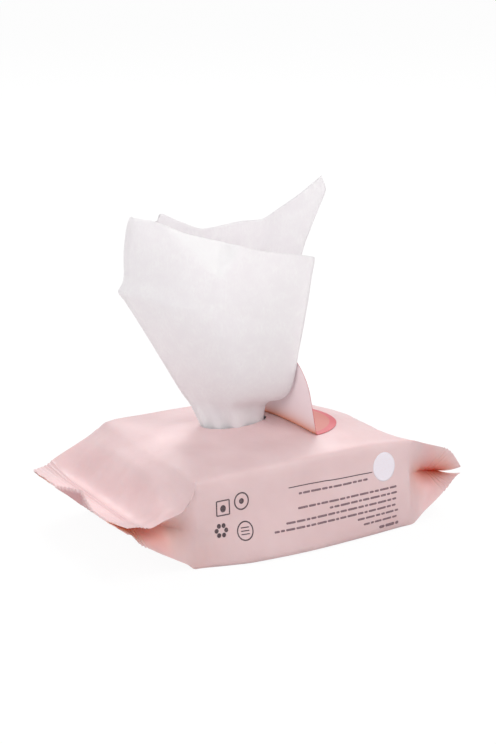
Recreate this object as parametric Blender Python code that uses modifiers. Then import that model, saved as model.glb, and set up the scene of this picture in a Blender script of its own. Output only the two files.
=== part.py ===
"""A soft pack of wet wipes: gusseted film wrapper, peeled label, the stack inside and one wipe pulled up.

Blender 4.5, metres, +Z up. The pack lies on its flat bottom: X runs along it, from crimp to crimp, and -Y is
its near side. The origin is on the floor under the middle of its length.
Lengths below are in millimetres, and become metres where a mesh is made.
"""

import math

import bmesh
import bpy
import numpy as np

MM = 0.001

# Wrapper
PACK_LENGTH = 190.0
FILM = 0.5
CROWN = 3.0
MOUND = 2.5
FOLD_INSET = 1.0
CRIMP_DEPTH = 11.0
CRIMP_THICKNESS = 1.2
RIBS = 4
RIB_HEIGHT = 0.25
GUSSET_TUCK = 20.0

# Stack
STACK_LENGTH = 116.0
STACK_WIDTH = 98.0
STACK_HEIGHT = 40.0
STACK_CENTRE = 3.5
STACK_ROUNDING = 3.0
STACK_SAG = 6.0
STACK_SAG_LENGTH = 36.0
END_ROOM = 1.5
SIDE_ROOM = 0.5
TOP_ROOM = 3.7
REST_GAP = 0.3

# Opening in the top film
OPENING_LENGTH = 46.0
OPENING_WIDTH = 24.0
OPENING_X = -4.0
OPENING_Y = 5.0
MOUND_TIGHTNESS = 2.0

# Reseal label
LABEL_LENGTH = 65.0
LABEL_WIDTH = 47.0
LABEL_THICKNESS = 0.5
LABEL_GAP = 0.4
LABEL_FOLD_X = 24.0
LABEL_BEND = 1.5
LABEL_LEAN = 3.0

# Pulled wipe
WIPE_THICKNESS = 0.8
WIPE_FOLD = 1.3
WIPE_FACING = math.radians(29.7)
WIPE_BASE_X = 2.0
WIPE_BULGE = 7.0

# Its edges, as (across, towards, up) seen from its front: across runs right and towards runs forward.
# Its left side is folded, and its right edges are the cut ones of the front and the back leaf
WIPE_LEFT_LOW = [(-20, 0, 0), (-22, 0, 9), (-29, 1, 19), (-44, 2, 42)]
WIPE_LEFT_HIGH = [(-65, 4, 78), (-63, 3, 83), (-63, 2, 98), (-59, 2, 116)]
WIPE_FRONT_RIGHT = [
    (8, -5, 0), (10, -6, 9), (15, -2, 21), (21, 4, 34), (24, 6, 50), (27, 7, 75), (30, 5, 97),
]
WIPE_FRONT_TOP = [(-59, 2, 116), (-46, 8, 115), (-33, 14, 112), (-12, 18, 109), (3, 15, 103), (30, 5, 97)]
WIPE_BACK_RIGHT_LOW = [(8, -8, 0), (9, -9, 9), (12, -8, 25), (15, -6, 49)]
WIPE_BACK_RIGHT_HIGH = [(20, -6, 72), (25, -6, 95), (32, -9, 115), (36, -12, 131)]
WIPE_BACK_TOP = [
    (-59, 2, 116), (-45, -6, 115), (-25, -12, 106), (-6, -17, 110), (14, -16, 117), (36, -12, 131),
]
WIPE_FRONT_FOOT = [(-20, 0, 0), (-12, 3, 0), (-4, 3, 0), (4, 0, 0), (8, -5, 0)]
WIPE_BACK_FOOT = [(-20, 0, 0), (-12, -3, 0), (-4, -4, 0), (4, -6, 0), (8, -8, 0)]

# Steps of the meshes: across one gusset leaf, across the sealed middle, along the label's round ends and its
# width, and up and across one leaf of the wipe
PRONG_STEPS = 3
MIDDLE_STEPS = 6
ROUND_END_STEPS = 7
ROUND_END_TIP = 0.12
LABEL_STEPS = 8
WIPE_RISE_STEPS = 12
WIPE_ACROSS_STEPS = 10

# The room inside the film ends where the film has nearly closed: a share of each end
ROOM_END = 0.44

# The wrapper's width and height follow from the stack that it holds
PACK_WIDTH = STACK_WIDTH + 2 * (SIDE_ROOM + FILM + FOLD_INSET)
PACK_HEIGHT = FILM + REST_GAP + STACK_HEIGHT + TOP_ROOM + FILM
BODY_LEFT = STACK_CENTRE - STACK_LENGTH / 2 - END_ROOM
BODY_RIGHT = STACK_CENTRE + STACK_LENGTH / 2 + END_ROOM
HALF_WIDTH = PACK_WIDTH / 2
FOLD_Y = HALF_WIDTH - FOLD_INSET
STACK_TOP = FILM + REST_GAP + STACK_HEIGHT


def left(share):
    """X at a share of the left end: 0 at the stack's edge, 1 at the cut edge of the crimp."""
    return BODY_LEFT - share * (PACK_LENGTH / 2 + BODY_LEFT)


def right(share):
    """X at a share of the right end, counted in the same way."""
    return BODY_RIGHT + share * (PACK_LENGTH / 2 - BODY_RIGHT)


def smooth_line(points, at):
    """Value at a place on a smooth line through (place, value) points that never overshoots them."""
    places = [p[0] for p in points]
    values = [p[1] for p in points]
    if at <= places[0]:
        return values[0]
    if at >= places[-1]:
        return values[-1]
    steps = np.diff(places)
    slopes = np.diff(values) / steps
    tangents = [slopes[0]]
    for before, after in zip(slopes[:-1], slopes[1:]):
        tangents.append(0.0 if before * after <= 0 else 2 * before * after / (before + after))
    tangents.append(slopes[-1])
    i = int(np.searchsorted(places, at)) - 1
    t = (at - places[i]) / steps[i]
    return (
        values[i] * (1 + 2 * t) * (1 - t) ** 2
        + tangents[i] * steps[i] * t * (1 - t) ** 2
        + values[i + 1] * t * t * (3 - 2 * t)
        + tangents[i + 1] * steps[i] * t * t * (t - 1)
    )


def heights(left_shares, body, right_shares):
    """Points (x, z) of one fold line: shares of the pack's height along its left end, body and right end."""
    line = [(left(run), PACK_HEIGHT * rise) for run, rise in left_shares]
    line += [(x, PACK_HEIGHT * rise) for x, rise in body]
    line += [(right(run), PACK_HEIGHT * rise) for run, rise in right_shares]
    return line


# Where the film's long folds run: the near top fold sinks steeply past the stack's left edge, and the far one
# sags on the right
TOP_NEAR = heights(
    [(1.0, 0.61), (0.72, 0.64), (0.47, 0.665), (0.24, 0.685), (0.1, 0.8), (0.0, 0.98)],
    [(BODY_LEFT + 6, 1.0), (BODY_RIGHT - 6, 1.0)],
    [(0.0, 0.985), (0.3, 0.91), (0.7, 0.79), (0.8, 0.73), (1.0, 0.55)],
)
TOP_MIDDLE = heights(
    [(1.0, 0.58), (0.72, 0.6), (0.45, 0.79), (0.15, 0.95), (0.0, 1.01)],
    [(BODY_LEFT + 12, 1 + CROWN / PACK_HEIGHT), (BODY_RIGHT - 25, 1 + CROWN / PACK_HEIGHT)],
    [(0.0, 0.88), (0.4, 0.7), (0.66, 0.55), (1.0, 0.53)],
)
TOP_FAR = heights(
    [(1.0, 0.56), (0.82, 0.59), (0.68, 0.66), (0.37, 0.81), (0.1, 0.93), (0.0, 0.985)],
    [(BODY_LEFT + 6, 1.0), (BODY_RIGHT - 35, 0.99), (BODY_RIGHT - 15, 0.9)],
    [(0.0, 0.78), (0.4, 0.64), (0.7, 0.55), (1.0, 0.52)],
)
BOTTOM_NEAR = heights(
    [(1.0, 0.59), (0.94, 0.57), (0.82, 0.47), (0.66, 0.37), (0.3, 0.14), (0.0, 0.0)],
    [],
    [(0.0, 0.0), (0.35, 0.14), (0.72, 0.33), (0.93, 0.47), (1.0, 0.49)],
)
BOTTOM_FAR = heights(
    [(1.0, 0.53), (0.82, 0.5), (0.66, 0.4), (0.3, 0.15), (0.0, 0.0)],
    [],
    [(0.0, 0.0), (0.35, 0.15), (0.72, 0.4), (1.0, 0.49)],
)
GUSSET_NEAR = heights([(1.0, 0.585), (0.6, 0.53), (0.0, 0.45)], [], [(0.0, 0.56), (0.5, 0.54), (1.0, 0.51)])
GUSSET_FAR = heights([(1.0, 0.55), (0.6, 0.53), (0.0, 0.48)], [], [(0.0, 0.48), (0.5, 0.48), (1.0, 0.505)])
TUCK = [
    (left(1.0), GUSSET_TUCK),
    (left(0.7), 0.95 * GUSSET_TUCK),
    (left(0.25), 0.45 * GUSSET_TUCK),
    (left(0.0), 0.0),
    (right(0.0), 0.0),
    (right(0.3), 0.45 * GUSSET_TUCK),
    (right(0.7), 0.95 * GUSSET_TUCK),
    (right(1.0), GUSSET_TUCK),
]


def border(x):
    """X of the crimp's inner border at the end that x lies towards."""
    return math.copysign(PACK_LENGTH / 2 - CRIMP_DEPTH, x)


def closing(x):
    """0 over the stack, rising smoothly to 1 where the film has closed to the flat crimp."""
    edge = BODY_LEFT if x < 0 else BODY_RIGHT
    run = (x - edge) / (border(x) - edge)
    late = min(max((run - 0.3) / 0.7, 0.0), 1.0)
    return late * late * (3 - 2 * late)


def rib(x):
    """The crimp's ribs run across the pack, so their height depends on x alone."""
    depth = abs(x) - abs(border(x))
    if depth < -0.01:
        return 0.0
    return RIB_HEIGHT * math.sin(math.pi * (2 * RIBS * depth / CRIMP_DEPTH + 0.5))


def seam_height(x, y):
    """Middle of the sealed strip, which runs straight from the far side to the near side."""
    near = smooth_line(GUSSET_NEAR, x)
    far = smooth_line(GUSSET_FAR, x)
    return near + (far - near) * (y + HALF_WIDTH) / PACK_WIDTH


def tuck(x):
    return smooth_line(TUCK, x)


def edge_weight(x, y):
    """0 over the pack's middle, rising to 1 at its long folds; near the crimps only the gussets rise."""
    share = min(abs(y) / FOLD_Y, 1.0)
    start = 1 - GUSSET_TUCK / FOLD_Y
    leaf = max((share - start) / (1 - start), 0.0)
    blend = closing(x)
    return (1 - blend) * share**2.4 + blend * leaf**1.3


def top_height(x, y):
    """The top film: a crown between the long folds, with a low mound where the wipe is drawn out."""
    edge = smooth_line(TOP_NEAR if y < 0 else TOP_FAR, x)
    blend = closing(x)
    sealed = seam_height(x, y) + CRIMP_THICKNESS / 2
    middle = (1 - blend) * smooth_line(TOP_MIDDLE, x) + blend * sealed
    reach = ((x - OPENING_X) / OPENING_LENGTH) ** 2 + ((y - OPENING_Y) / OPENING_WIDTH) ** 2
    mound = MOUND * math.exp(-MOUND_TIGHTNESS * reach) * (1 - blend)
    return middle + (edge - middle) * edge_weight(x, y) + mound + rib(x)


def bottom_height(x, y):
    """The bottom film: flat under the stack, rising to the crimps at both ends."""
    if BODY_LEFT <= x <= BODY_RIGHT:
        return 0.0
    body_edge = BODY_LEFT if x < 0 else BODY_RIGHT
    run = min((x - body_edge) / (border(x) - body_edge), 1.0)
    edge = smooth_line(BOTTOM_NEAR if y < 0 else BOTTOM_FAR, x)
    middle = run * (seam_height(x, y) - CRIMP_THICKNESS / 2)
    return middle + (edge - middle) * edge_weight(x, y) + rib(x)


def section(x):
    """One closed loop (y, z) around the wrapper at x, from the far top fold over the top and round."""
    inner = HALF_WIDTH - max(tuck(x), GUSSET_TUCK / 2)
    prong = np.linspace(FOLD_Y, inner, PRONG_STEPS + 1)
    middle = np.linspace(inner, -inner, MIDDLE_STEPS + 1)
    across = list(prong[:-1]) + list(middle) + list(-prong[::-1][1:])
    top = [(y, top_height(x, y)) for y in across]
    bottom = [(y, bottom_height(x, y)) for y in reversed(across)]
    near = gusset(x, -1, smooth_line(GUSSET_NEAR, x))
    far = gusset(x, 1, smooth_line(GUSSET_FAR, x))
    return top + near + bottom + far[::-1]


def gusset(x, side, fold_z):
    """Side film from the top fold in to the gusset's fold and out to the bottom fold, without its ends."""
    fold_y = side * (HALF_WIDTH - tuck(x))
    blend = closing(x)
    fold_z = (1 - blend) * fold_z + blend * seam_height(x, fold_y) + rib(x)
    roof = top_height(x, fold_y) - fold_z
    floor = fold_z - bottom_height(x, fold_y)
    upper = []
    lower = []
    for share in np.linspace(0, 1, PRONG_STEPS + 1)[1:]:
        y = side * FOLD_Y + (fold_y - side * FOLD_Y) * share
        upper.append((y, top_height(x, y) - share * roof))
        lower.append((y, bottom_height(x, y) + share * floor))
    return upper + lower[-2::-1]


def inset(loop, distance):
    """The loop moved inward by distance; at sharp corners the move is held to the length of their sides."""
    points = np.array(loop)
    before = points - np.roll(points, 1, axis=0)
    after = np.roll(points, -1, axis=0) - points
    moved = []
    for point, one, two in zip(points, before, after):
        length = min(np.linalg.norm(one), np.linalg.norm(two))
        one = one / np.linalg.norm(one)
        two = two / np.linalg.norm(two)
        normal = np.array([-one[1] - two[1], one[0] + two[0]])
        size = np.linalg.norm(normal)
        reach = distance / max(size / 2, 0.05)
        if size > 0.4:
            move = normal / size * min(reach, 0.9 * length)
        else:
            move = (two - one) / np.linalg.norm(two - one) * min(reach, 0.9 * length)
        moved.append(tuple(point + move))
    return moved


def stations():
    """X of every section, with two to each rib of the crimps."""
    ribs = [1 - 0.5 * i / RIBS * CRIMP_DEPTH / (PACK_LENGTH / 2 + BODY_LEFT) for i in range(2 * RIBS + 1)]
    left_side = [left(share) for share in ribs]
    ribs = [1 - 0.5 * i / RIBS * CRIMP_DEPTH / (PACK_LENGTH / 2 - BODY_RIGHT) for i in range(2 * RIBS + 1)]
    right_side = [right(share) for share in reversed(ribs)]
    ends = [0.6, 0.44, 0.34, 0.24, 0.15, 0.07]
    body = list(np.linspace(BODY_LEFT, BODY_RIGHT, 11))
    return left_side + [left(s) for s in ends] + body + [right(s) for s in reversed(ends)] + right_side


def new_collection(name):
    collection = bpy.data.collections.new(name)
    bpy.context.scene.collection.children.link(collection)
    return collection


def mesh_object(name, vertices, faces, collection):
    """An object whose vertices are given in millimetres."""
    mesh = bpy.data.meshes.new(name)
    mesh.from_pydata([tuple(c * MM for c in v) for v in vertices], [], faces)
    mesh.validate()
    piece = bpy.data.objects.new(name, mesh)
    collection.objects.link(piece)
    return piece


def face_outward(piece):
    shape = bmesh.new()
    shape.from_mesh(piece.data)
    bmesh.ops.recalc_face_normals(shape, faces=shape.faces)
    if shape.calc_volume(signed=True) < 0:
        bmesh.ops.reverse_faces(shape, faces=shape.faces)
    shape.to_mesh(piece.data)
    shape.free()


def loft(name, rows, collection):
    """Closed solid between like loops, whose end caps are ladders between their top and bottom film."""
    count = len(rows[0][1])
    vertices = [(x, y, z) for x, loop in rows for y, z in loop]
    faces = []
    for r in range(len(rows) - 1):
        for i in range(count):
            j = (i + 1) % count
            faces.append((r * count + i, (r + 1) * count + i, (r + 1) * count + j, r * count + j))
    for base in (0, (len(rows) - 1) * count):
        faces += [tuple(base + i for i in face) for face in ladder(count)]
    piece = mesh_object(name, vertices, faces, collection)
    face_outward(piece)
    return piece


def ladder(count):
    """Faces across a section: two prongs on each side of the sealed middle."""
    across = 2 * PRONG_STEPS + MIDDLE_STEPS
    near = [across + k for k in range(2 * PRONG_STEPS + 1)]
    bottom = [across + 2 * PRONG_STEPS + k for k in range(across + 1)]
    far = [bottom[-1] + k for k in range(2 * PRONG_STEPS)] + [0]
    faces = []
    for k in range(PRONG_STEPS):
        faces.append((across - k, across - k - 1, near[k + 1], near[k]))
        faces.append((near[-1 - k], near[-2 - k], bottom[k + 1], bottom[k]))
        faces.append((k, k + 1, far[-2 - k], far[-1 - k]))
        faces.append((bottom[-1 - k], bottom[-2 - k], far[k + 1], far[k]))
    top_side = list(range(PRONG_STEPS, across - PRONG_STEPS + 1))[::-1]
    low_side = list(range(bottom[PRONG_STEPS], bottom[-1 - PRONG_STEPS] + 1))
    for k in range(MIDDLE_STEPS):
        face = (top_side[k], top_side[k + 1], low_side[k + 1], low_side[k])
        if k == 0:
            face = (near[PRONG_STEPS], *face)
        if k == MIDDLE_STEPS - 1:
            face = (*face[:-2], far[PRONG_STEPS], *face[-2:])
        faces.append(face)
    return [tuple(dict.fromkeys(i % count for i in face)) for face in faces]


def material(name, colour, roughness):
    shade = bpy.data.materials.new(name)
    shade.use_nodes = True
    surface = shade.node_tree.nodes["Principled BSDF"]
    surface.inputs["Base Color"].default_value = (*colour, 1.0)
    surface.inputs["Roughness"].default_value = roughness
    surface.inputs["Metallic"].default_value = 0.0
    shade.diffuse_color = (*colour, 1.0)
    return shade


def cut(piece, cutter):
    modifier = piece.modifiers.new("cut_" + cutter.name, "BOOLEAN")
    modifier.operation = "DIFFERENCE"
    modifier.solver = "EXACT"
    modifier.object = cutter
    cutter.hide_render = True
    cutter.display_type = "WIRE"


def thicken(piece, thickness):
    """Gives an open sheet its thickness, half to each side."""
    modifier = piece.modifiers.new("thickness", "SOLIDIFY")
    modifier.thickness = thickness * MM
    modifier.offset = 0.0
    modifier.use_even_offset = True


def film_wrapper(parts, cutters):
    """The outer film less the room inside it and the opening in its top."""
    places = stations()
    wrapper = loft("film_wrapper", [(x, section(x)) for x in places], parts)
    room = [(x, inset(section(x), FILM)) for x in places if left(ROOM_END) <= x <= right(ROOM_END)]
    cut(wrapper, loft("room_inside", room, cutters))
    bpy.ops.mesh.primitive_cylinder_add(
        vertices=36,
        radius=0.5 * MM,
        depth=PACK_HEIGHT / 3 * MM,
        location=(OPENING_X * MM, OPENING_Y * MM, (PACK_HEIGHT + CROWN) * MM),
    )
    opening = bpy.context.object
    opening.name = "opening_in_film"
    opening.data.transform(scaling(OPENING_LENGTH, OPENING_WIDTH, 1.0))
    for collection in list(opening.users_collection):
        collection.objects.unlink(opening)
    cutters.objects.link(opening)
    cut(wrapper, opening)
    wrapper.data.materials.append(material("matt_pink_film", (0.82, 0.6, 0.6), 0.5))
    return wrapper


def scaling(x, y, z):
    return np.diag([x, y, z, 1.0]).tolist()


def wipe_stack(parts):
    """The stack of folded wipes: flat underneath, softly rounded, and slumped at its far right corner."""
    bpy.ops.mesh.primitive_cube_add(
        size=1.0, location=(STACK_CENTRE * MM, 0.0, (FILM + REST_GAP + STACK_HEIGHT / 2) * MM)
    )
    stack = bpy.context.object
    stack.name = "wipe_stack"
    stack.data.name = "wipe_stack"
    stack.data.transform(scaling(STACK_LENGTH * MM, STACK_WIDTH * MM, STACK_HEIGHT * MM))
    shape = bmesh.new()
    shape.from_mesh(stack.data)
    bmesh.ops.bisect_plane(
        shape,
        geom=shape.verts[:] + shape.edges[:] + shape.faces[:],
        plane_co=((STACK_LENGTH / 2 - STACK_SAG_LENGTH) * MM, 0, 0),
        plane_no=(1, 0, 0),
    )
    corner = max(shape.verts, key=lambda v: v.co.x + v.co.y + v.co.z)
    corner.co.z -= STACK_SAG * MM
    shape.to_mesh(stack.data)
    shape.free()
    for collection in list(stack.users_collection):
        collection.objects.unlink(stack)
    parts.objects.link(stack)
    bevel = stack.modifiers.new("soft_edges", "BEVEL")
    bevel.width = STACK_ROUNDING * MM
    bevel.segments = 2
    stack.data.materials.append(material("moist_nonwoven_stack", (0.86, 0.85, 0.85), 0.7))
    return stack


def sheet(name, grid, collection):
    """Open sheet through a grid of points in millimetres."""
    rows = len(grid)
    columns = len(grid[0])
    vertices = [point for row in grid for point in row]
    faces = [
        (r * columns + c, r * columns + c + 1, (r + 1) * columns + c + 1, (r + 1) * columns + c)
        for r in range(rows - 1)
        for c in range(columns - 1)
    ]
    return mesh_object(name, vertices, faces, collection)


def label_half_width(along):
    """Half width of the label at a distance from its stuck end: straight sides and round ends."""
    radius = LABEL_WIDTH / 2
    off = max(radius - along, along - (LABEL_LENGTH - radius), 0.0)
    return math.sqrt(max(radius**2 - off**2, 0.0))


def reseal_label(parts):
    """The label's stuck half round lies on the top film, and the rest stands up from its fold."""
    stuck = LABEL_FOLD_X + LABEL_WIDTH / 2
    radius = LABEL_WIDTH / 2
    bend_length = LABEL_BEND * math.pi / 2
    flat_part = radius - LABEL_BEND
    first = [radius * (1 - math.cos(a)) for a in np.linspace(ROUND_END_TIP, math.pi / 2, ROUND_END_STEPS)]
    lying = [a for a in first if a < flat_part - 1] + [flat_part]
    bending = [flat_part + bend_length * s for s in (0.33, 0.67, 1.0)]
    last = [LABEL_LENGTH - along for along in first]
    standing = list(np.linspace(bending[-1], last[-1], 4)[1:-1]) + last[::-1]
    grid = []
    for along in lying + bending + standing:
        row = []
        for share in np.linspace(-1, 1, LABEL_STEPS + 1):
            y = share * label_half_width(along)
            base = LABEL_GAP + LABEL_THICKNESS / 2
            if along <= flat_part:
                x = stuck - along
                row.append((x, y, top_height(x, y) + base))
                continue
            base += top_height(stuck - flat_part, y)
            turn = min((along - flat_part) / LABEL_BEND, math.pi / 2)
            rise = max(along - flat_part - bend_length, 0.0)
            lean = LABEL_LEAN * (rise / (LABEL_LENGTH - radius)) ** 2
            x = stuck - flat_part - LABEL_BEND * math.sin(turn) - lean
            row.append((x, y, base + LABEL_BEND * (1 - math.cos(turn)) + rise))
        grid.append(row)
    label = sheet("reseal_label", grid, parts)
    thicken(label, LABEL_THICKNESS)
    label.data.materials.append(material("coral_label_film", (0.75, 0.3, 0.27), 0.4))
    return label


def along_path(points, share):
    """Point at a share of the way along a path of straight runs."""
    path = np.array(points, dtype=float)
    lengths = np.concatenate([[0.0], np.cumsum(np.linalg.norm(np.diff(path, axis=0), axis=1))])
    return np.array([np.interp(share * lengths[-1], lengths, path[:, axis]) for axis in range(3)])


def panel(left_edge, right_edge, foot, top, bulge):
    """Grid (up, across) of one half of the wipe, stretched between its four edges and bulged midway."""
    ups = np.linspace(0, 1, WIPE_RISE_STEPS + 1)
    acrosses = np.linspace(0, 1, WIPE_ACROSS_STEPS + 1)
    rows = []
    for v in ups:
        row = []
        for u in acrosses:
            sides = (1 - u) * along_path(left_edge, v) + u * along_path(right_edge, v)
            ends = (1 - v) * along_path(foot, u) + v * along_path(top, u)
            corners = (1 - u) * (1 - v) * np.array(foot[0], float) + u * (1 - v) * np.array(foot[-1], float)
            corners = corners + (1 - u) * v * np.array(top[0], float) + u * v * np.array(top[-1], float)
            point = sides + ends - corners
            point[1] += bulge * math.sin(math.pi * u) * math.sin(math.pi * v)
            row.append(point)
        rows.append(row)
    return rows


def wipe_point(point):
    """From (across, towards, up) to the pack's own axes: the wipe's foot rests on the stack."""
    across, towards, up = point
    x = WIPE_BASE_X + across * math.cos(WIPE_FACING) - towards * math.sin(WIPE_FACING)
    y = -across * math.sin(WIPE_FACING) - towards * math.cos(WIPE_FACING)
    return (x, y, STACK_TOP + REST_GAP + up)


def pulled_wipe(parts):
    """One wipe folded along its left side: its foot is gathered, and its two leaves spread above."""
    left_fold = WIPE_LEFT_LOW + WIPE_LEFT_HIGH
    back_right = WIPE_BACK_RIGHT_LOW + WIPE_BACK_RIGHT_HIGH
    front = panel(left_fold, WIPE_FRONT_RIGHT, WIPE_FRONT_FOOT, WIPE_FRONT_TOP, WIPE_BULGE)
    back = panel(left_fold, back_right, WIPE_BACK_FOOT, WIPE_BACK_TOP, -WIPE_BULGE / 2)
    grid = []
    for front_row, back_row in zip(front, back):
        fold = front_row[0]
        row = [tuple(p) for p in front_row[:0:-1]]
        row.append(tuple(fold + np.array([0.5, WIPE_FOLD, 0])))
        row.append(tuple(fold + np.array([-WIPE_FOLD, 0, 0])))
        row.append(tuple(fold + np.array([0.5, -WIPE_FOLD, 0])))
        row += [tuple(p) for p in back_row[1:]]
        grid.append([wipe_point(p) for p in row])
    wipe = sheet("pulled_wipe", grid, parts)
    thicken(wipe, WIPE_THICKNESS)
    wipe.data.materials.append(material("white_nonwoven", (0.88, 0.86, 0.87), 0.8))
    return wipe


def main():
    for old in list(bpy.data.objects):
        bpy.data.objects.remove(old, do_unlink=True)
    parts = new_collection("wet_wipes_pack")
    cutters = new_collection("cutters")
    film_wrapper(parts, cutters)
    wipe_stack(parts)
    reseal_label(parts)
    pulled_wipe(parts)
    for piece in parts.objects:
        if piece.name in ("reseal_label", "pulled_wipe"):
            piece.data.shade_smooth()


main()
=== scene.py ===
"""Looks of a soft pack of wet wipes: gusseted film, a peeled reseal label, the stack and one drawn wipe.

Shapes are worked out in millimetres and become metres where a mesh is made. The film keeps to the plan of the
CAD model, and adds rounded edges, dents, creases, ribs, swollen sides and the buckled seal of the real one.
"""

import math

import bmesh
import bpy
import numpy as np
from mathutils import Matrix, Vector, noise


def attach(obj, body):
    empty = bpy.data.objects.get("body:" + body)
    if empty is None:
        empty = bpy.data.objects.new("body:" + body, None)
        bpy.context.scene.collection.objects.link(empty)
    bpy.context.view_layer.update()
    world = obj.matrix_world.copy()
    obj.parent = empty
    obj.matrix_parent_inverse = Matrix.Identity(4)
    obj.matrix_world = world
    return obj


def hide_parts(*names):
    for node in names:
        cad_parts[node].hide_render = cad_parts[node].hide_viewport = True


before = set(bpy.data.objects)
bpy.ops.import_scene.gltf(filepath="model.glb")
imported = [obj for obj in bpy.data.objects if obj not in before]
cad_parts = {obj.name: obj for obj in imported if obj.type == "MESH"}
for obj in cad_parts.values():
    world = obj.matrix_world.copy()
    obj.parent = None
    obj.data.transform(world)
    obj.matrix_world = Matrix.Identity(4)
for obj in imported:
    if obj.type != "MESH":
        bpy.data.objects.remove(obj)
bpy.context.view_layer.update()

MM = 0.001

# The image is 496 by 744 pixels, and the lens has a focal length of 2000 of them
IMAGE_HEIGHT = 744
FOCAL_PIXELS = 2000
SENSOR = 36.0
CAMERA_TURN = math.radians(29.7)
CAMERA_RISE = math.radians(18.0)
CAMERA_DISTANCE = 996.0
LOOK_AT_HEIGHT = 76.5

# Sizes of the pack, as the CAD model has them
FILM = 0.5
FOLD_INSET = 1.0
STACK_LENGTH = 116.0
STACK_WIDTH = 98.0
STACK_HEIGHT = 40.0
STACK_CENTRE = 3.5
STACK_SAG_LENGTH = 36.0
REST_GAP = 0.3
PACK_LENGTH = 190.0
PACK_WIDTH = 102.0
PACK_HEIGHT = 45.0
CROWN = 3.0
MOUND = 2.5
CRIMP_DEPTH = 11.0
CRIMP_THICKNESS = 1.2
GUSSET_TUCK = 20.0
BODY_LEFT = -56.0
BODY_RIGHT = 63.0
HALF_WIDTH = PACK_WIDTH / 2
FOLD_Y = HALF_WIDTH - FOLD_INSET
OPENING_LENGTH = 46.0
OPENING_WIDTH = 24.0
OPENING_X = -4.0
OPENING_Y = 5.0
# The opening as it shows, a little smaller than the CAD model's
HOLE_LENGTH = 36.5
HOLE_WIDTH = 20.5
HOLE_X = -4.6
HOLE_Y = 7.0
MOUND_TIGHTNESS = 2.0
# Share of the end's run where the film starts to close, and how flat it stays before it rises to its folds
CLOSING_START = 0.3
MIDDLE_FLATNESS = 2.4
LEAF_FLATNESS = 1.3

# Fine steps of the film's mesh
PRONG_STEPS = 12
MIDDLE_STEPS = 40
# in the left crimp, left end, body, right end and right crimp
STATION_STEPS = (28, 24, 60, 18, 28)
RIB_PITCH = 1.8
RIB_HEIGHT = 0.28
RIB_LEAST = 0.2
RIB_BAND = 5.6


def left(share):
    """X at a share of the left end: 0 at the stack's edge, 1 at the cut edge of the crimp."""
    return BODY_LEFT - share * (PACK_LENGTH / 2 + BODY_LEFT)


def right(share):
    """X at a share of the right end, counted in the same way."""
    return BODY_RIGHT + share * (PACK_LENGTH / 2 - BODY_RIGHT)


def smooth_line(points, at):
    """Value at a place on a smooth line through (place, value) points that never overshoots them."""
    places = [p[0] for p in points]
    values = [p[1] for p in points]
    if at <= places[0]:
        return values[0]
    if at >= places[-1]:
        return values[-1]
    steps = np.diff(places)
    slopes = np.diff(values) / steps
    tangents = [slopes[0]]
    for before, after in zip(slopes[:-1], slopes[1:]):
        tangents.append(0.0 if before * after <= 0 else 2 * before * after / (before + after))
    tangents.append(slopes[-1])
    i = int(np.searchsorted(places, at)) - 1
    t = (at - places[i]) / steps[i]
    return (
        values[i] * (1 + 2 * t) * (1 - t) ** 2
        + tangents[i] * steps[i] * t * (1 - t) ** 2
        + values[i + 1] * t * t * (3 - 2 * t)
        + tangents[i + 1] * steps[i] * t * t * (t - 1)
    )


def heights(left_shares, body, right_shares):
    """Points (x, z) of a fold line, from shares of the pack's height along left end, body and right end."""
    line = [(left(run), PACK_HEIGHT * rise) for run, rise in left_shares]
    line += [(x, PACK_HEIGHT * rise) for x, rise in body]
    line += [(right(run), PACK_HEIGHT * rise) for run, rise in right_shares]
    return line


TOP_NEAR = heights(
    [(1.0, 0.69), (0.84, 0.675), (0.68, 0.635), (0.47, 0.665), (0.24, 0.685), (0.1, 0.8), (0.0, 0.98)],
    [(BODY_LEFT + 6, 1.0), (BODY_RIGHT - 6, 1.01)],
    [(0.0, 1.0), (0.3, 0.925), (0.7, 0.82), (0.8, 0.765), (1.0, 0.56)],
)
TOP_MIDDLE = heights(
    [(1.0, 0.58), (0.72, 0.6), (0.45, 0.79), (0.15, 0.95), (0.0, 1.01)],
    [(BODY_LEFT + 12, 1 + CROWN / PACK_HEIGHT), (BODY_RIGHT - 25, 1.05)],
    [(0.0, 0.905), (0.4, 0.755), (0.66, 0.59), (1.0, 0.46)],
)
TOP_FAR = heights(
    [(1.0, 0.545), (0.82, 0.57), (0.68, 0.64), (0.37, 0.79), (0.1, 0.93), (0.0, 1.005)],
    [(BODY_LEFT + 6, 1.03), (BODY_RIGHT - 35, 0.97), (BODY_RIGHT - 15, 0.845)],
    [(0.0, 0.71), (0.4, 0.575), (0.7, 0.48), (1.0, 0.44)],
)
BOTTOM_NEAR = heights(
    [(1.0, 0.625), (0.93, 0.6), (0.82, 0.48), (0.66, 0.39), (0.3, 0.175), (0.1, 0.07), (0.0, 0.0)],
    [],
    [(0.0, 0.0), (0.35, 0.14), (0.72, 0.33), (0.93, 0.47), (1.0, 0.49)],
)
BOTTOM_FAR = heights(
    [(1.0, 0.53), (0.82, 0.5), (0.66, 0.4), (0.3, 0.15), (0.0, 0.0)],
    [],
    [(0.0, 0.0), (0.35, 0.15), (0.72, 0.35), (1.0, 0.42)],
)
GUSSET_NEAR = heights(
    [(1.0, 0.62), (0.6, 0.54), (0.0, 0.45)],
    [],
    [(0.0, 0.56), (0.35, 0.5), (0.66, 0.43), (1.0, 0.36)],
)
GUSSET_FAR = heights([(1.0, 0.535), (0.6, 0.53), (0.0, 0.48)], [], [(0.0, 0.44), (0.5, 0.43), (1.0, 0.43)])
TUCK_LEFT = [
    (left(1.0), GUSSET_TUCK),
    (left(0.7), 0.95 * GUSSET_TUCK),
    (left(0.25), 0.45 * GUSSET_TUCK),
    (left(0.0), 0.0),
]
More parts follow.
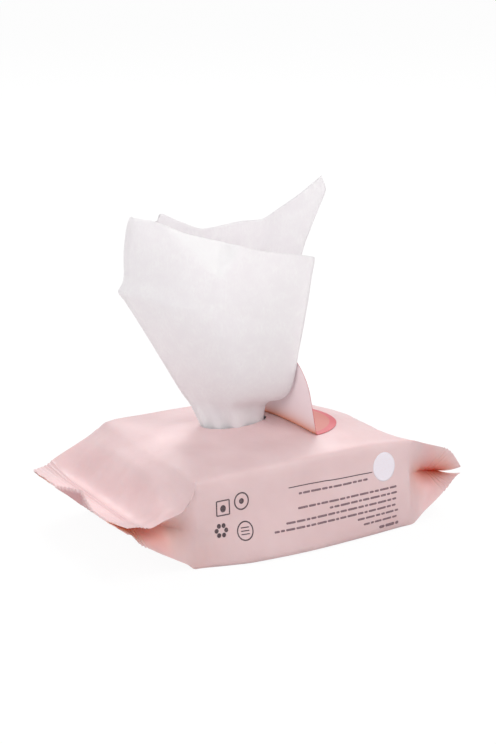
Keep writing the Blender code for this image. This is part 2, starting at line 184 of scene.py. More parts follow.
# The right end folds in along a crisp line, so this one starts with its full slope
TUCK_RIGHT = [
    (right(0.0), 0.0),
    (right(0.3), 0.5 * GUSSET_TUCK),
    (right(0.7), 0.95 * GUSSET_TUCK),
    (right(1.0), GUSSET_TUCK),
]


def tuck(x):
    """How far the gusset's fold lies in from the pack's long edge."""
    return smooth_line(TUCK_LEFT, x) if x < 0 else smooth_line(TUCK_RIGHT, x)


def border(x):
    """X of the crimp's inner border at the end that x lies towards."""
    return math.copysign(PACK_LENGTH / 2 - CRIMP_DEPTH, x)


def closing(x):
    """0 over the stack, rising smoothly to 1 where the film has closed to the flat crimp."""
    edge = BODY_LEFT if x < 0 else BODY_RIGHT
    run = (x - edge) / (border(x) - edge)
    late = min(max((run - CLOSING_START) / (1 - CLOSING_START), 0.0), 1.0)
    return late * late * (3 - 2 * late)


def rib(x):
    """The crimp's ribs run across the pack, so their height depends on x alone."""
    depth = abs(x) - abs(border(x))
    if depth < 0:
        return 0.0
    fade = RIB_LEAST + (1 - RIB_LEAST) * math.exp(-((depth / RIB_BAND) ** 4))
    return fade * RIB_HEIGHT * math.sin(2 * math.pi * depth / RIB_PITCH)


def seam_height(x, y):
    """Middle of the sealed strip, which runs straight from the far side to the near side."""
    near = smooth_line(GUSSET_NEAR, x)
    far = smooth_line(GUSSET_FAR, x)
    return near + (far - near) * (y + HALF_WIDTH) / PACK_WIDTH


def edge_weight(x, y):
    """0 over the middle, rising to 1 at the long folds; near the crimps only the gusset's leaves rise."""
    share = min(abs(y) / FOLD_Y, 1.0)
    start = 1 - GUSSET_TUCK / FOLD_Y
    leaf = max((share - start) / (1 - start), 0.0)
    blend = closing(x)
    return (1 - blend) * share**MIDDLE_FLATNESS + blend * leaf**LEAF_FLATNESS


def top_height(x, y):
    """The top film: a crown between the long folds, with a low mound where the wipe is drawn out."""
    edge = smooth_line(TOP_NEAR if y < 0 else TOP_FAR, x)
    blend = closing(x)
    sealed = seam_height(x, y) + CRIMP_THICKNESS / 2
    middle = (1 - blend) * smooth_line(TOP_MIDDLE, x) + blend * sealed
    reach = ((x - OPENING_X) / OPENING_LENGTH) ** 2 + ((y - OPENING_Y) / OPENING_WIDTH) ** 2
    mound = MOUND * math.exp(-MOUND_TIGHTNESS * reach) * (1 - blend)
    return middle + (edge - middle) * edge_weight(x, y) + mound + rib(x)


def bottom_height(x, y):
    """The bottom film: flat under the stack, rising to the crimps at both ends."""
    if BODY_LEFT <= x <= BODY_RIGHT:
        return 0.0
    body_edge = BODY_LEFT if x < 0 else BODY_RIGHT
    run = min((x - body_edge) / (border(x) - body_edge), 1.0)
    edge = smooth_line(BOTTOM_NEAR if y < 0 else BOTTOM_FAR, x)
    middle = run * (seam_height(x, y) - CRIMP_THICKNESS / 2)
    return middle + (edge - middle) * edge_weight(x, y) + rib(x)


def gusset(x, side, fold_z):
    """Side film from the top fold in to the gusset's fold and out to the bottom one, without its ends."""
    fold_y = side * (HALF_WIDTH - tuck(x))
    blend = closing(x)
    fold_z = (1 - blend) * fold_z + blend * seam_height(x, fold_y) + rib(x)
    roof = top_height(x, fold_y) - fold_z
    floor = fold_z - bottom_height(x, fold_y)
    upper = []
    lower = []
    for share in np.linspace(0, 1, PRONG_STEPS + 1)[1:]:
        y = side * FOLD_Y + (fold_y - side * FOLD_Y) * share
        upper.append((y, top_height(x, y) - share * roof))
        lower.append((y, bottom_height(x, y) + share * floor))
    return upper + lower[-2::-1]


def section(x):
    """One closed loop (y, z) around the wrapper at x, from the far top fold over the top."""
    inner = HALF_WIDTH - max(tuck(x), GUSSET_TUCK / 2)
    prong = np.linspace(FOLD_Y, inner, PRONG_STEPS + 1)
    middle = np.linspace(inner, -inner, MIDDLE_STEPS + 1)
    across = list(prong[:-1]) + list(middle) + list(-prong[::-1][1:])
    top = [(y, top_height(x, y)) for y in across]
    bottom = [(y, bottom_height(x, y)) for y in reversed(across)]
    near = gusset(x, -1, smooth_line(GUSSET_NEAR, x))
    far = gusset(x, 1, smooth_line(GUSSET_FAR, x))
    return top + near + bottom + far[::-1]


ACROSS = 2 * PRONG_STEPS + MIDDLE_STEPS
SIDE = 2 * PRONG_STEPS
LOOP = 2 * (ACROSS + SIDE)
# Places in a loop of the four long folds: far top, near top, near bottom and far bottom
FOLDS = (0, ACROSS, ACROSS + SIDE, 2 * ACROSS + SIDE)


# How round the long folds are along the pack, the share of that in the bottom ones, and how they are rounded
SOFTNESS = [(BODY_LEFT - 4, 0.0), (BODY_LEFT + 10, 1.0), (BODY_RIGHT - 8, 1.0), (BODY_RIGHT + 3, 0.0)]
BOTTOM_SOFTNESS = 0.15
TOP_REACH = 7
BOTTOM_REACH = 3
ROUNDING_PASSES = 14
ROUNDING_PULL = 0.9


def softened(x, loop):
    """The loop with its long folds rounded over the stack, by drawing points between their neighbours."""
    points = np.array(loop)
    weight = np.zeros(len(points))
    for k, at in enumerate(FOLDS):
        reach = TOP_REACH if k < 2 else BOTTOM_REACH
        softness = smooth_line(SOFTNESS, x) * (1.0 if k < 2 else BOTTOM_SOFTNESS)
        for step in range(-reach, reach + 1):
            weight[(at + step) % len(points)] = (1 - abs(step) / (reach + 1)) * softness
    for _ in range(ROUNDING_PASSES):
        middle = (np.roll(points, 1, axis=0) + np.roll(points, -1, axis=0)) / 2
        points = points + ROUNDING_PULL * weight[:, None] * (middle - points)
    return points


def film_stations():
    """X of the film's sections: close together in the ribbed crimps, wider over the stack."""
    inner = PACK_LENGTH / 2 - CRIMP_DEPTH
    stops = (-PACK_LENGTH / 2, -inner, BODY_LEFT, BODY_RIGHT, inner, PACK_LENGTH / 2)
    runs = [np.linspace(a, b, n + 1)[1:] for a, b, n in zip(stops, stops[1:], STATION_STEPS)]
    return np.concatenate([stops[:1], *runs])


def dent(points, centre, radii, depth):
    """Soft hollow, as depth in millimetres at each point."""
    off = (points - np.array(centre)) / np.array(radii)
    return depth * np.exp(-(off**2).sum(axis=1))


def crease(points, start, end, width, depth):
    """Long narrow hollow between two places, deepest in its middle."""
    start = np.array(start, dtype=float)
    run = np.array(end, dtype=float) - start
    along = np.clip((points - start) @ run / (run @ run), 0, 1)
    distance = np.linalg.norm(points - (start + along[:, None] * run), axis=1)
    return depth * np.sin(math.pi * np.clip(along, 0.02, 0.98)) ** 0.6 * np.exp(-((distance / width) ** 2))


# Dents of the film: centre, radii and depth. A depth below zero is a swelling
DENTS = [
    ((-57.0, -50.0, 38.0), (5.0, 9.0, 8.0), 1.6),
    ((-66.0, -38.0, 36.0), (6.0, 9.0, 12.0), 0.9),
    ((-40.0, -50.0, 44.0), (7.0, 5.0, 5.0), 0.7),
    ((18.0, -50.0, 43.0), (8.0, 5.0, 7.0), 0.8),
    ((32.0, -50.0, 42.0), (4.5, 5.0, 9.0), 0.5),
    ((6.0, -51.0, 34.0), (10.0, 6.0, 9.0), 0.5),
    ((-22.0, -51.0, 22.0), (16.0, 6.0, 12.0), 0.6),
    ((30.0, -51.0, 14.0), (18.0, 6.0, 9.0), -0.4),
    ((-46.0, -51.0, 12.0), (9.0, 6.0, 10.0), -0.5),
    ((-42.0, -8.0, 48.0), (18.0, 12.0, 12.0), 0.9),
    ((-62.0, 10.0, 42.0), (12.0, 18.0, 12.0), 0.8),
    ((-70.0, -22.0, 36.0), (7.0, 14.0, 12.0), 0.7),
    ((42.0, -30.0, 47.0), (14.0, 12.0, 10.0), 0.5),
    ((-30.0, 30.0, 47.0), (16.0, 12.0, 10.0), 0.6),
    ((-52.0, -52.0, 14.0), (7.0, 7.0, 9.0), 0.8),
    ((4.0, -22.0, 48.0), (26.0, 7.0, 8.0), 0.5),
]
# Creases of the film: from, to, width and depth
CREASES = [
    ((-46.0, -49.0, 45.0), (-41.0, -38.0, 47.0), 1.6, 0.7),
    ((-57.5, -51.0, 44.0), (-55.5, -51.0, 30.0), 1.8, 0.8),
    ((-65.0, -28.0, 40.0), (-69.0, -40.0, 34.0), 1.4, 0.5),
    ((-65.0, -28.0, 40.0), (-62.0, -38.0, 38.0), 1.4, 0.35),
    ((-36.0, 20.0, 48.0), (-14.0, 19.0, 50.0), 3.5, -0.5),
    ((-50.0, -51.0, 2.0), (-52.0, -51.0, 20.0), 2.5, 0.5),
    ((60.0, -51.0, 4.0), (61.0, -51.0, 40.0), 2.2, -0.5),
    ((12.0, -50.5, 44.0), (15.0, -51.0, 30.0), 2.4, 0.35),
    ((70.0, -30.0, 36.0), (84.0, -40.0, 32.0), 2.0, 0.4),
    ((-82.0, -20.0, 28.0), (-66.0, -16.0, 37.0), 3.0, 0.5),
    ((-82.0, 24.0, 28.0), (-64.0, 20.0, 40.0), 3.0, 0.5),
]


# Slow waves all over, and wrinkles that run towards the ends; both stop at the seals
WAVE_HEIGHT = 0.45
WAVE_SIZE = np.array((22.0, 22.0, 22.0))
WRINKLE_HEIGHT = 0.55
WRINKLE_SIZE = np.array((30.0, 5.0, 14.0))
WRINKLE_START = 52.0
WRINKLE_RUN = 24.0
SEAL_START = 80.0
SEAL_RUN = 4.0


def relief(points):
    """Depth in millimetres of every dent, crease and slow wave of the film at each point."""
    depth = np.zeros(len(points))
    for centre, radii, amount in DENTS:
        depth += dent(points, centre, radii, amount)
    for start, end, width, amount in CREASES:
        depth += crease(points, start, end, width, amount)
    slow = WAVE_HEIGHT * np.array([noise.noise(Vector(p / WAVE_SIZE)) for p in points])
    wrinkle = WRINKLE_HEIGHT * np.array([noise.noise(Vector(p / WRINKLE_SIZE)) for p in points])
    end_share = np.clip((np.abs(points[:, 0] - STACK_CENTRE) - WRINKLE_START) / WRINKLE_RUN, 0, 1)
    sealed = np.clip((np.abs(points[:, 0]) - SEAL_START) / SEAL_RUN, 0, 1)
    return depth + (slow + wrinkle * end_share) * (1 - sealed)


# The left seal has buckled: between two slanting hinges its outer part hangs down
BUCKLE_FAR = (-95.0, 25.0)
BUCKLE_INNER = (-86.5, 14.0)
BUCKLE_NEAR = (-95.0, -17.0)
BUCKLE_ANGLE = math.radians(98)


def buckle_hinge(y):
    """X of the two slanting hinges at y."""
    corners = (BUCKLE_NEAR, BUCKLE_INNER, BUCKLE_FAR)
    return float(np.interp(y, [c[1] for c in corners], [c[0] for c in corners]))


def buckled(point):
    """Where a point of the film goes when the left seal's outer part bends down about its slanting hinges."""
    x, y, z = point
    hinge = buckle_hinge(y)
    over = hinge - x
    if over <= 0 or x > 0:
        return (x, y, z)
    middle = seam_height(x, y)
    turned = z - middle
    return (
        hinge - over * math.cos(BUCKLE_ANGLE) + turned * -math.sin(BUCKLE_ANGLE),
        y,
        middle - over * math.sin(BUCKLE_ANGLE) + turned * math.cos(BUCKLE_ANGLE),
    )


TOOTH_DEPTH = 0.55
TOOTH_PITCH = 2.0


def tooth(y):
    """The cut edge's small zigzag, as a distance in millimetres."""
    return TOOTH_DEPTH * abs(((y / TOOTH_PITCH) % 1.0) * 2 - 1)


def grid_faces(rows, columns, base=0, around=False):
    """Quads between neighbouring points of a grid stored row by row, closed around if asked."""
    faces = []
    for low in range(base, base + (rows - 1) * columns, columns):
        for c in range(columns if around else columns - 1):
            after = (c + 1) % columns
            faces.append((low + c, low + after, low + columns + after, low + columns + c))
    return faces


def new_object(name, vertices, faces):
    """An object in the scene whose vertices are given in millimetres."""
    mesh = bpy.data.meshes.new(name)
    mesh.from_pydata([tuple(c * MM for c in v) for v in vertices], [], faces)
    mesh.validate()
    piece = bpy.data.objects.new(name, mesh)
    bpy.context.scene.collection.objects.link(piece)
    return piece


def face_outward(piece):
    shape = bmesh.new()
    shape.from_mesh(piece.data)
    bmesh.ops.recalc_face_normals(shape, faces=shape.faces)
    if shape.calc_volume(signed=True) < 0:
        bmesh.ops.reverse_faces(shape, faces=shape.faces)
    shape.to_mesh(piece.data)
    shape.free()


def deselect_all():
    for other in bpy.context.selected_objects:
        other.select_set(False)


def select_only(piece):
    deselect_all()
    piece.select_set(True)
    bpy.context.view_layer.objects.active = piece


def remove_piece(piece):
    mesh = piece.data
    bpy.data.objects.remove(piece)
    bpy.data.meshes.remove(mesh)


def apply_modifiers(piece):
    select_only(piece)
    for modifier in list(piece.modifiers):
        bpy.ops.object.modifier_apply(modifier=modifier.name)


def ladder():
    """Faces across the end of the film: two prongs on each side of the sealed middle."""
    near = [ACROSS + k for k in range(SIDE + 1)]
    bottom = [ACROSS + SIDE + k for k in range(ACROSS + 1)]
    far = [bottom[-1] + k for k in range(SIDE)] + [0]
    faces = []
    for k in range(PRONG_STEPS):
        faces.append((ACROSS - k, ACROSS - k - 1, near[k + 1], near[k]))
        faces.append((near[-1 - k], near[-2 - k], bottom[k + 1], bottom[k]))
        faces.append((k, k + 1, far[-2 - k], far[-1 - k]))
        faces.append((bottom[-1 - k], bottom[-2 - k], far[k + 1], far[k]))
    top_side = list(range(PRONG_STEPS, ACROSS - PRONG_STEPS + 1))[::-1]
    low_side = list(range(bottom[PRONG_STEPS], bottom[-1 - PRONG_STEPS] + 1))
    for k in range(MIDDLE_STEPS):
        face = (top_side[k], top_side[k + 1], low_side[k + 1], low_side[k])
        if k == 0:
            face = (near[PRONG_STEPS], *face)
        if k == MIDDLE_STEPS - 1:
            face = (*face[:-2], far[PRONG_STEPS], *face[-2:])
        faces.append(face)
    return [tuple(dict.fromkeys(i % LOOP for i in face)) for face in faces]


def loft_faces(rows):
    """Faces of the closed film: quads along it, and a ladder of faces over each end."""
    faces = [(a, d, c, b) for a, b, c, d in grid_faces(rows, LOOP, around=True)]
    for base in (0, (rows - 1) * LOOP):
        faces += [tuple(base + i for i in face) for face in ladder()]
    return faces


def outward_normals(points, faces):
    """Unit normals at the points of a closed mesh whose volume is positive."""
    helper = new_object("normals_helper", points, faces)
    face_outward(helper)
    normals = np.array([v.normal[:] for v in helper.data.vertices])
    remove_piece(helper)
    return normals


def film_points(stations):
    """The film's outer surface in millimetres, before the buckle, as rows of loops one after another."""
    rows = []
    for x in stations:
        rows += [(x, y, z) for y, z in softened(x, section(x))]
    points = filled_out(np.array(rows))
    normals = outward_normals(points, loft_faces(len(stations)))
    depth = relief(points)
    # the underside stays flat on the table
    off_table = np.clip((points[:, 2] - FLAT_BELOW) / FLAT_FADE, 0, 1)
    return points - normals * (depth * off_table)[:, None], normals


# How far the near side swells out at the table: places along the pack and distances
NEAR_SWELL = [
    (-75, 0), (-58, -2), (-43, 2.5), (-26, 7), (2, 8.6), (31, 7), (50, 5.2), (63, 3.4), (75, 1), (84, 0),
]
FAR_SWELL = 3.0
FAR_SWELL_X = 14.0
FAR_SWELL_RUN = 50.0
SWELL_HEIGHT = 19.0
LEFT_SPREAD = 0.07
RIGHT_SPREAD = 0.03
FLAT_BELOW = 1.0
FLAT_FADE = 6.0


def filled_out(points):
    """The sealed ends spread a little wider than the body, and the long sides swell out at the table."""
    shares = np.array([closing(x) if x < BODY_LEFT or x > BODY_RIGHT else 0.0 for x in points[:, 0]])
    spread = np.where(points[:, 0] < 0, LEFT_SPREAD, RIGHT_SPREAD)
    points[:, 1] *= 1 + spread * shares
    side = np.clip(np.abs(points[:, 1]) / FOLD_Y, 0, 1) ** 10
    low = np.exp(-(((points[:, 2] - 2) / SWELL_HEIGHT) ** 2))
    near = np.array([smooth_line(NEAR_SWELL, x) for x in points[:, 0]])
    far = FAR_SWELL * np.exp(-(((points[:, 0] - FAR_SWELL_X) / FAR_SWELL_RUN) ** 4))
    points[:, 1] += np.where(points[:, 1] < 0, -near, far) * side * low
    return points


# Share of each end that the room inside the film reaches over, past the stack
ROOM_REACH = 0.3


def make_film():
    """The wrapper: its outer skin, less the room inside and the opening."""
    stations = film_stations()
    points, normals = film_points(stations)
    cut = []
    for x, y, z in points:
        if abs(x) > PACK_LENGTH / 2 - 0.01:
            x = math.copysign(abs(x) - tooth(y), x)
        cut.append(buckled((x, y, z)))
    outer = new_object("printed_film_wrapper", cut, loft_faces(len(stations)))
    # the gusset value is the share of painted glow in the tucked-in folds and of painted shade at the near
    # left corner
    store(outer, "gusset", [painted_glow_and_shade(stations[k // LOOP], k % LOOP, p) for k, p in enumerate(points)])
    # the bent value marks the buckled seal's hanging part, which the film's colour paints darker mauve as
    # shade
    store(outer, "bent", [min(max(buckle_hinge(y) - x, 0.0), 1.0) for x, y, z in points])
    face_outward(outer)
    low, high = left(ROOM_REACH), right(ROOM_REACH)
    chosen = [k for k, x in enumerate(stations) if low <= x <= high]
    room = (points - normals * FILM)[chosen[0] * LOOP : (chosen[-1] + 1) * LOOP]
    room[:, 0] = np.clip(room[:, 0], low, high)
    inner = new_object("room_inside", room, loft_faces(len(chosen)))
    face_outward(inner)
    cutters = (inner, opening_cutter())
    for cutter in cutters:
        modifier = outer.modifiers.new("cut", "BOOLEAN")
        modifier.operation = "DIFFERENCE"
        modifier.solver = "MANIFOLD"
        modifier.object = cutter
    apply_modifiers(outer)
    for cutter in cutters:
        remove_piece(cutter)
    return outer


def opening_cutter():
    """Oval column through the top film."""
    deselect_all()
    bpy.ops.mesh.primitive_cylinder_add(vertices=96, radius=0.5, depth=PACK_HEIGHT / 3 * MM)
    cutter = bpy.context.object
    cutter.name = "opening_cutter"
    cutter.data.transform(np.diag([HOLE_LENGTH * MM, HOLE_WIDTH * MM, 1.0, 1.0]).tolist())
    for vertex in cutter.data.vertices:
        vertex.co += Vector((HOLE_X, HOLE_Y, PACK_HEIGHT + CROWN)) * MM
    return cutter


def store(piece, name, values):
    """Keeps one number at each vertex, for the materials to read."""
    layer = piece.data.attributes.new(name, "FLOAT", "POINT")
    layer.data.foreach_set("value", np.array(values, dtype=np.float32))


# How far the painted glow reaches out of the left and right tucked-in folds, a salmon colour that stands in
# for light through the doubled film, and the faint painted shade at the near left corner
PAINTED_GLOW_SPREAD_LEFT = 0.8
PAINTED_GLOW_SPREAD_RIGHT = 2.0
CORNER_PAINTED_SHADE = 0.13
CORNER_X = -55.0
CORNER_RUN = 10.0
CORNER_Z = 6.0
CORNER_RISE = 12.0


def painted_glow_and_shade(x, index, point):
    """Share of painted glow and shade: 0 on the outside of the film, rising to 1 deep in the folds that are
    tucked in at the pack's ends, where salmon stands in for light through the doubled film; a faint painted
    shade sits at the near left corner.
    """
    corner = 0.0
    if point[1] < 0:
        off = ((x - CORNER_X) / CORNER_RUN) ** 2 + ((point[2] - CORNER_Z) / CORNER_RISE) ** 2
        corner = CORNER_PAINTED_SHADE * math.exp(-off)
    for start in (ACROSS, 2 * ACROSS + SIDE):
        if start < index < start + SIDE:
            along = (index - start) / SIDE
            spread = PAINTED_GLOW_SPREAD_LEFT if x < 0 else PAINTED_GLOW_SPREAD_RIGHT
            return max((1 - abs(2 * along - 1)) ** spread * tuck(x) / GUSSET_TUCK, corner)
    return corner


# Stack of folded wipes
WIPES = 20
STACK_ROUNDING = 7.0
STACK_SOFT_SAG = 9.5
STACK_RINGS = (0.985, 0.93, 0.8, 0.6, 0.35)
STACK_EDGE = [(0.994, 0.12), (1.0, 0.5), (0.994, 0.88)]
STACK_WAVE = 0.12
DRAWN_IN_FROM = 14
DRAWN_IN = 4.5


def sag_at(x, y):
    """How far the stack's top has slumped at its far right corner, a little more than the CAD model's."""
    run = (x - (STACK_CENTRE + STACK_LENGTH / 2 - STACK_SAG_LENGTH)) / STACK_SAG_LENGTH
    return STACK_SOFT_SAG * min(max(run, 0.0), 1.0) * (y / STACK_WIDTH + 0.5)


def rounded_outline(half_x, half_y, radius, count=24):
    """Points around a rectangle with round corners."""
    points = []
    for corner, (sx, sy) in enumerate([(1, 1), (-1, 1), (-1, -1), (1, -1)]):
        for k in range(count):
            angle = math.radians(90 * corner + 90 * k / (count - 1))
            x = sx * (half_x - radius) + radius * math.cos(angle)
            points.append((x, sy * (half_y - radius) + radius * math.sin(angle)))
    return points


def make_stack():
    """Twenty folded wipes on one another, each a little out of line with the next, the top ones drawn in."""
    vertices = []
    faces = []
    layer = STACK_HEIGHT / WIPES
    # scale and rise of the rings from the middle underneath, around the edge, to the middle on top
    rings = [(s, 0.03) for s in STACK_RINGS[::-1]] + STACK_EDGE + [(s, 0.97) for s in STACK_RINGS]
    for k in range(WIPES):
        shift_x = 0.5 * math.sin(2.1 * k + 0.4)
        shift_y = 0.35 * math.sin(3.7 * k + 1.1)
        inset = 0.8 + DRAWN_IN * max((k - DRAWN_IN_FROM) / (WIPES - 1 - DRAWN_IN_FROM), 0.0) ** 2
        outline = rounded_outline(STACK_LENGTH / 2 - inset - 0.8, STACK_WIDTH / 2 - inset, STACK_ROUNDING)
        low = FILM + REST_GAP + layer * k
        base = len(vertices)
        count = len(outline)
        for scale, rise in rings:
            for px, py in outline:
                x = STACK_CENTRE + shift_x + px * scale
                y = shift_y + py * scale
                height = low + layer * rise
                share = (height - FILM - REST_GAP) / STACK_HEIGHT
                wave = STACK_WAVE * noise.noise(Vector((x / 14, y / 14, k * 0.7))) * min(share * 4, 1.0)
                vertices.append((x, y, height - sag_at(x, y) * share + min(wave, 0.02)))
        faces += grid_faces(len(rings), count, base, around=True)
        faces.append(tuple(range(base, base + count))[::-1])
        faces.append(tuple(range(len(vertices) - count, len(vertices))))
    stack = new_object("folded_wipe_stack", vertices, faces)
    select_only(stack)
    bpy.ops.object.shade_smooth_by_angle(angle=math.radians(40))
    return stack


# The drawn-up wipe, in its own directions: across to the right, towards the viewer, and height on the pack
WIPE_FACING = math.radians(29.7)
WIPE_BASE_X = 2.0
WIPE_THICKNESS = 0.4
WIPE_FLAT = (0.2, 0.14)
WIPE_LEFT = [
    (-23.2, 5.2, 42), (-24.2, 4.5, 48.5), (-29.2, 0.5, 58.5), (-34.6, 0, 66.5), (-43.4, 2, 82.7),
    (-53.6, 3, 101), (-61.2, 4, 114), (-64.4, 4, 118.6), (-63.0, 3.5, 121.5), (-61.6, 3, 126),
    (-61.4, 2, 137.7), (-60.4, 2, 147), (-59.2, 2, 153), (-58, 2, 155.9),
]
WIPE_FRONT_RIGHT = [
    (5.6, -3.6, 42.3), (5.8, -4.2, 50), (6.8, -4, 57), (9.6, -2.5, 60.2), (14.6, -1, 61.5), (18.8, 0.5, 65.5),
    (21.2, 3, 74), (23.3, 6, 89), (24.9, 7, 98.3), (27.7, 7, 115.5), (29.4, 6, 127.5), (30.6, 5, 134),
    (30.5, 5, 136.7),
]
WIPE_BACK_RIGHT = [
    (6.2, -9.4, 42), (6.4, -9.7, 50), (7.6, -9, 58), (11.5, -7.5, 75), (15.5, -6, 90), (20, -5.5, 112),
    (25, -6, 136), (29.5, -8, 149), (34, -10, 160), (36.4, -11, 166.4), (35.6, -11.6, 169.6),
    (34.1, -12, 173.4),
]
WIPE_FRONT_TOP = [
    WIPE_LEFT[-1], (-53, 5, 155.5), (-46.1, 8, 154.9), (-33.4, 14, 151.2), (-23.4, 17, 149.6),
    (-14.5, 19, 148.3), (-10, 19.3, 147.3), (3.4, 15, 142.5), (13.3, 11, 140.1), (24.6, 7, 138.1),
    WIPE_FRONT_RIGHT[-1],
]
WIPE_BACK_TOP = [
    WIPE_LEFT[-1], (-52.5, -3, 152.6), (-46.4, -6, 151.8), (-45.2, -6.2, 155.2), (-43.4, -6.6, 155.4),
    (-35, -9, 151), (-26, -12, 146.9), (-22.5, -13, 146.6), (-15.8, -15, 147.4), (-5.7, -17, 149.2),
    (5.4, -18, 150.4), (13.7, -16, 156.4), (23.7, -14, 164), WIPE_BACK_RIGHT[-1],
]
WIPE_FRONT_FOOT = [
    WIPE_LEFT[0], (-22.5, 6.8, 42.6), (-18.5, 7.6, 42.6), (-12, 7.0, 42.6), (-5, 4.8, 42.6), (1, 1.2, 42.6),
    WIPE_FRONT_RIGHT[0],
]
WIPE_BACK_FOOT = [WIPE_LEFT[0], (-16, -1, 41.4), (-8, -4, 41.4), (0, -6.2, 41.4), WIPE_BACK_RIGHT[0]]
FRONT_BULGE = 7.0
BACK_BULGE = -3.5
LEAF_ACROSS = 64
LEAF_RISE = 96
FOLD_POINTS = 5
FOLD_RADIUS = 0.9
TAIL_ROWS = 22
TAIL_END_Y = -39.0
TAIL_SPREAD = 1.25
TAIL_HEIGHTS = (42.6, 41.5)


def spline(points, shares):
    """Places at shares of the way along a smooth curve through the points."""
    path = np.array(points, dtype=float)
    ends = np.vstack([2 * path[0] - path[1], path, 2 * path[-1] - path[-2]])
    fine = [path[0]]
    for i in range(len(path) - 1):
        p0, p1, p2, p3 = ends[i : i + 4]
        for t in np.linspace(0, 1, 13)[1:]:
            square = (2 * p0 - 5 * p1 + 4 * p2 - p3) * t**2
            cube = (3 * p1 - p0 - 3 * p2 + p3) * t**3
            fine.append(0.5 * (2 * p1 + (p2 - p0) * t + square + cube))
    fine = np.array(fine)
    lengths = np.concatenate([[0.0], np.cumsum(np.linalg.norm(np.diff(fine, axis=0), axis=1))])
    shares = np.asarray(shares, dtype=float)
    return np.stack([np.interp(shares * lengths[-1], lengths, fine[:, axis]) for axis in range(3)], axis=-1)


def leaf(right_edge, foot, top, bulge):
    """Grid (up, across) of one leaf of the wipe, stretched between its edges and bulged in its middle."""
    ups = np.linspace(0, 1, LEAF_RISE + 1)
    acrosses = np.linspace(0, 1, LEAF_ACROSS + 1)
    sides = (spline(WIPE_LEFT, ups), spline(right_edge, ups))
    ends = (spline(foot, acrosses), spline(top, acrosses))
    u = acrosses[None, :, None]
    v = ups[:, None, None]
    grid = (1 - u) * sides[0][:, None, :] + u * sides[1][:, None, :]
    grid = grid + (1 - v) * ends[0][None, :, :] + v * ends[1][None, :, :]
    corners = (1 - u) * (1 - v) * ends[0][0] + u * (1 - v) * ends[0][-1]
    corners = corners + (1 - u) * v * ends[1][0] + u * v * ends[1][-1]
    grid = grid - corners
    grid[:, :, 1] += bulge * np.sin(math.pi * acrosses)[None, :] * np.sin(math.pi * ups)[:, None]
    return grid


def cloth_relief(grid, seed):
    """Adds the gathers at the foot and the cloth's soft waves, towards or away from the viewer."""
    rows, columns, _ = grid.shape
    v = np.linspace(0, 1, rows)[:, None]
    u = np.linspace(0, 1, columns)[None, :]
    gathers = np.exp(-((v / 0.22) ** 2)) * 0.8 + np.exp(-((v / 0.55) ** 2)) * 0.35
    folds = np.sin(2 * math.pi * (3.4 * u + 0.35 * np.sin(3 * u + seed)) + seed)
    waves = np.array(
        [[noise.noise(Vector((c * 3.0 + seed, r * 2.4, seed))) for c in u[0]] for r in v[:, 0]]
    )
    edge = np.sin(math.pi * u) ** 0.5
    grid[:, :, 1] += gathers * folds * edge + 1.6 * waves * np.clip(v * 5, 0, 1) * edge
    return grid


def with_tail(grid, height):
    """Adds rows of cloth that run on from the foot under the film, spreading out over the stack."""
    foot = grid[0]
    rows = []
    for k in range(TAIL_ROWS, 0, -1):
        run = k / TAIL_ROWS
        row = foot.copy()
        row[:, 0] = HOLE_X + (foot[:, 0] - HOLE_X) * (1 + TAIL_SPREAD * run)
        row[:, 1] = foot[:, 1] + (TAIL_END_Y - foot[:, 1]) * run
        row[:, 2] = height
        rows.append(row)
    return np.concatenate([np.array(rows), grid])


def wipe_place(points):
    """From (across, towards, height) to the pack's own axes."""
    across, towards, up = points[..., 0], points[..., 1], points[..., 2]
    x = WIPE_BASE_X + across * math.cos(WIPE_FACING) - towards * math.sin(WIPE_FACING)
    y = -across * math.sin(WIPE_FACING) - towards * math.cos(WIPE_FACING)
    return np.stack([x, y, up], axis=-1)


# A soft crease runs down from the front leaf's top, given as across and height from the top down
CREASE_LINE = np.array([(-10, 148), (-11, 142), (-15.5, 131.7), (-19.2, 121), (-20, 108)])
CREASE_FADE = 30.0
CREASE_RISE = 1.8
CREASE_WIDTH = 2.0
# Left of it and above a slanting line, a flat triangle bends back and catches the light, and is coloured
# whiter there as a painted highlight
BEND_ACROSS = (-44, -15)
BEND_HEIGHTS = (153, 127)
BEND_EASE = 3.0
BEND_DEPTH = 0.55
BEND_DROP = 0.3
BEND_FULL = 1.5
BEND_PAINTED_HIGHLIGHT = 0.6


def bend_and_paint_highlight(front):
    """Adds the front leaf's crease and bent triangle, and returns the share of painted highlight at each
    point, which grows as it bends back.
    """
    at = np.interp(front[:, :, 2], CREASE_LINE[::-1, 1], CREASE_LINE[::-1, 0])
    fade = np.clip((front[:, :, 2] - CREASE_LINE[-1, 1]) / CREASE_FADE, 0, 1)
    front[:, :, 1] += CREASE_RISE * fade * np.exp(-np.abs(front[:, :, 0] - at) / CREASE_WIDTH)
    rise = np.clip(front[:, :, 2] - np.interp(front[:, :, 0], BEND_ACROSS, BEND_HEIGHTS), 0, None)
    rise = rise * rise / (rise + BEND_EASE)
    bent = BEND_DEPTH * rise / (1 + np.exp((front[:, :, 0] - at - 1.5) / 1.2))
    front[:, :, 1] -= bent
    front[:, :, 2] -= BEND_DROP * bent
    return BEND_PAINTED_HIGHLIGHT * np.clip(bent / BEND_FULL, 0, 1)


def rounded_fold(front, back):
    """Columns of points around the fold between the two leaves."""
    across = np.array([math.cos(WIPE_FACING), -math.sin(WIPE_FACING)])
    towards = np.array([-math.sin(WIPE_FACING), -math.cos(WIPE_FACING)])
    columns = []
    for turn in np.radians(np.linspace(60, -60, FOLD_POINTS)):
        place = (front[:, 0] + back[:, 0]) / 2
        place[:, :2] -= FOLD_RADIUS * math.cos(turn) * across
        place[TAIL_ROWS:, :2] += FOLD_RADIUS * math.sin(turn) * towards
        place[:TAIL_ROWS, 2] += (TAIL_HEIGHTS[0] - TAIL_HEIGHTS[1]) / 2 * math.sin(turn)
        columns.append(place)
    return columns


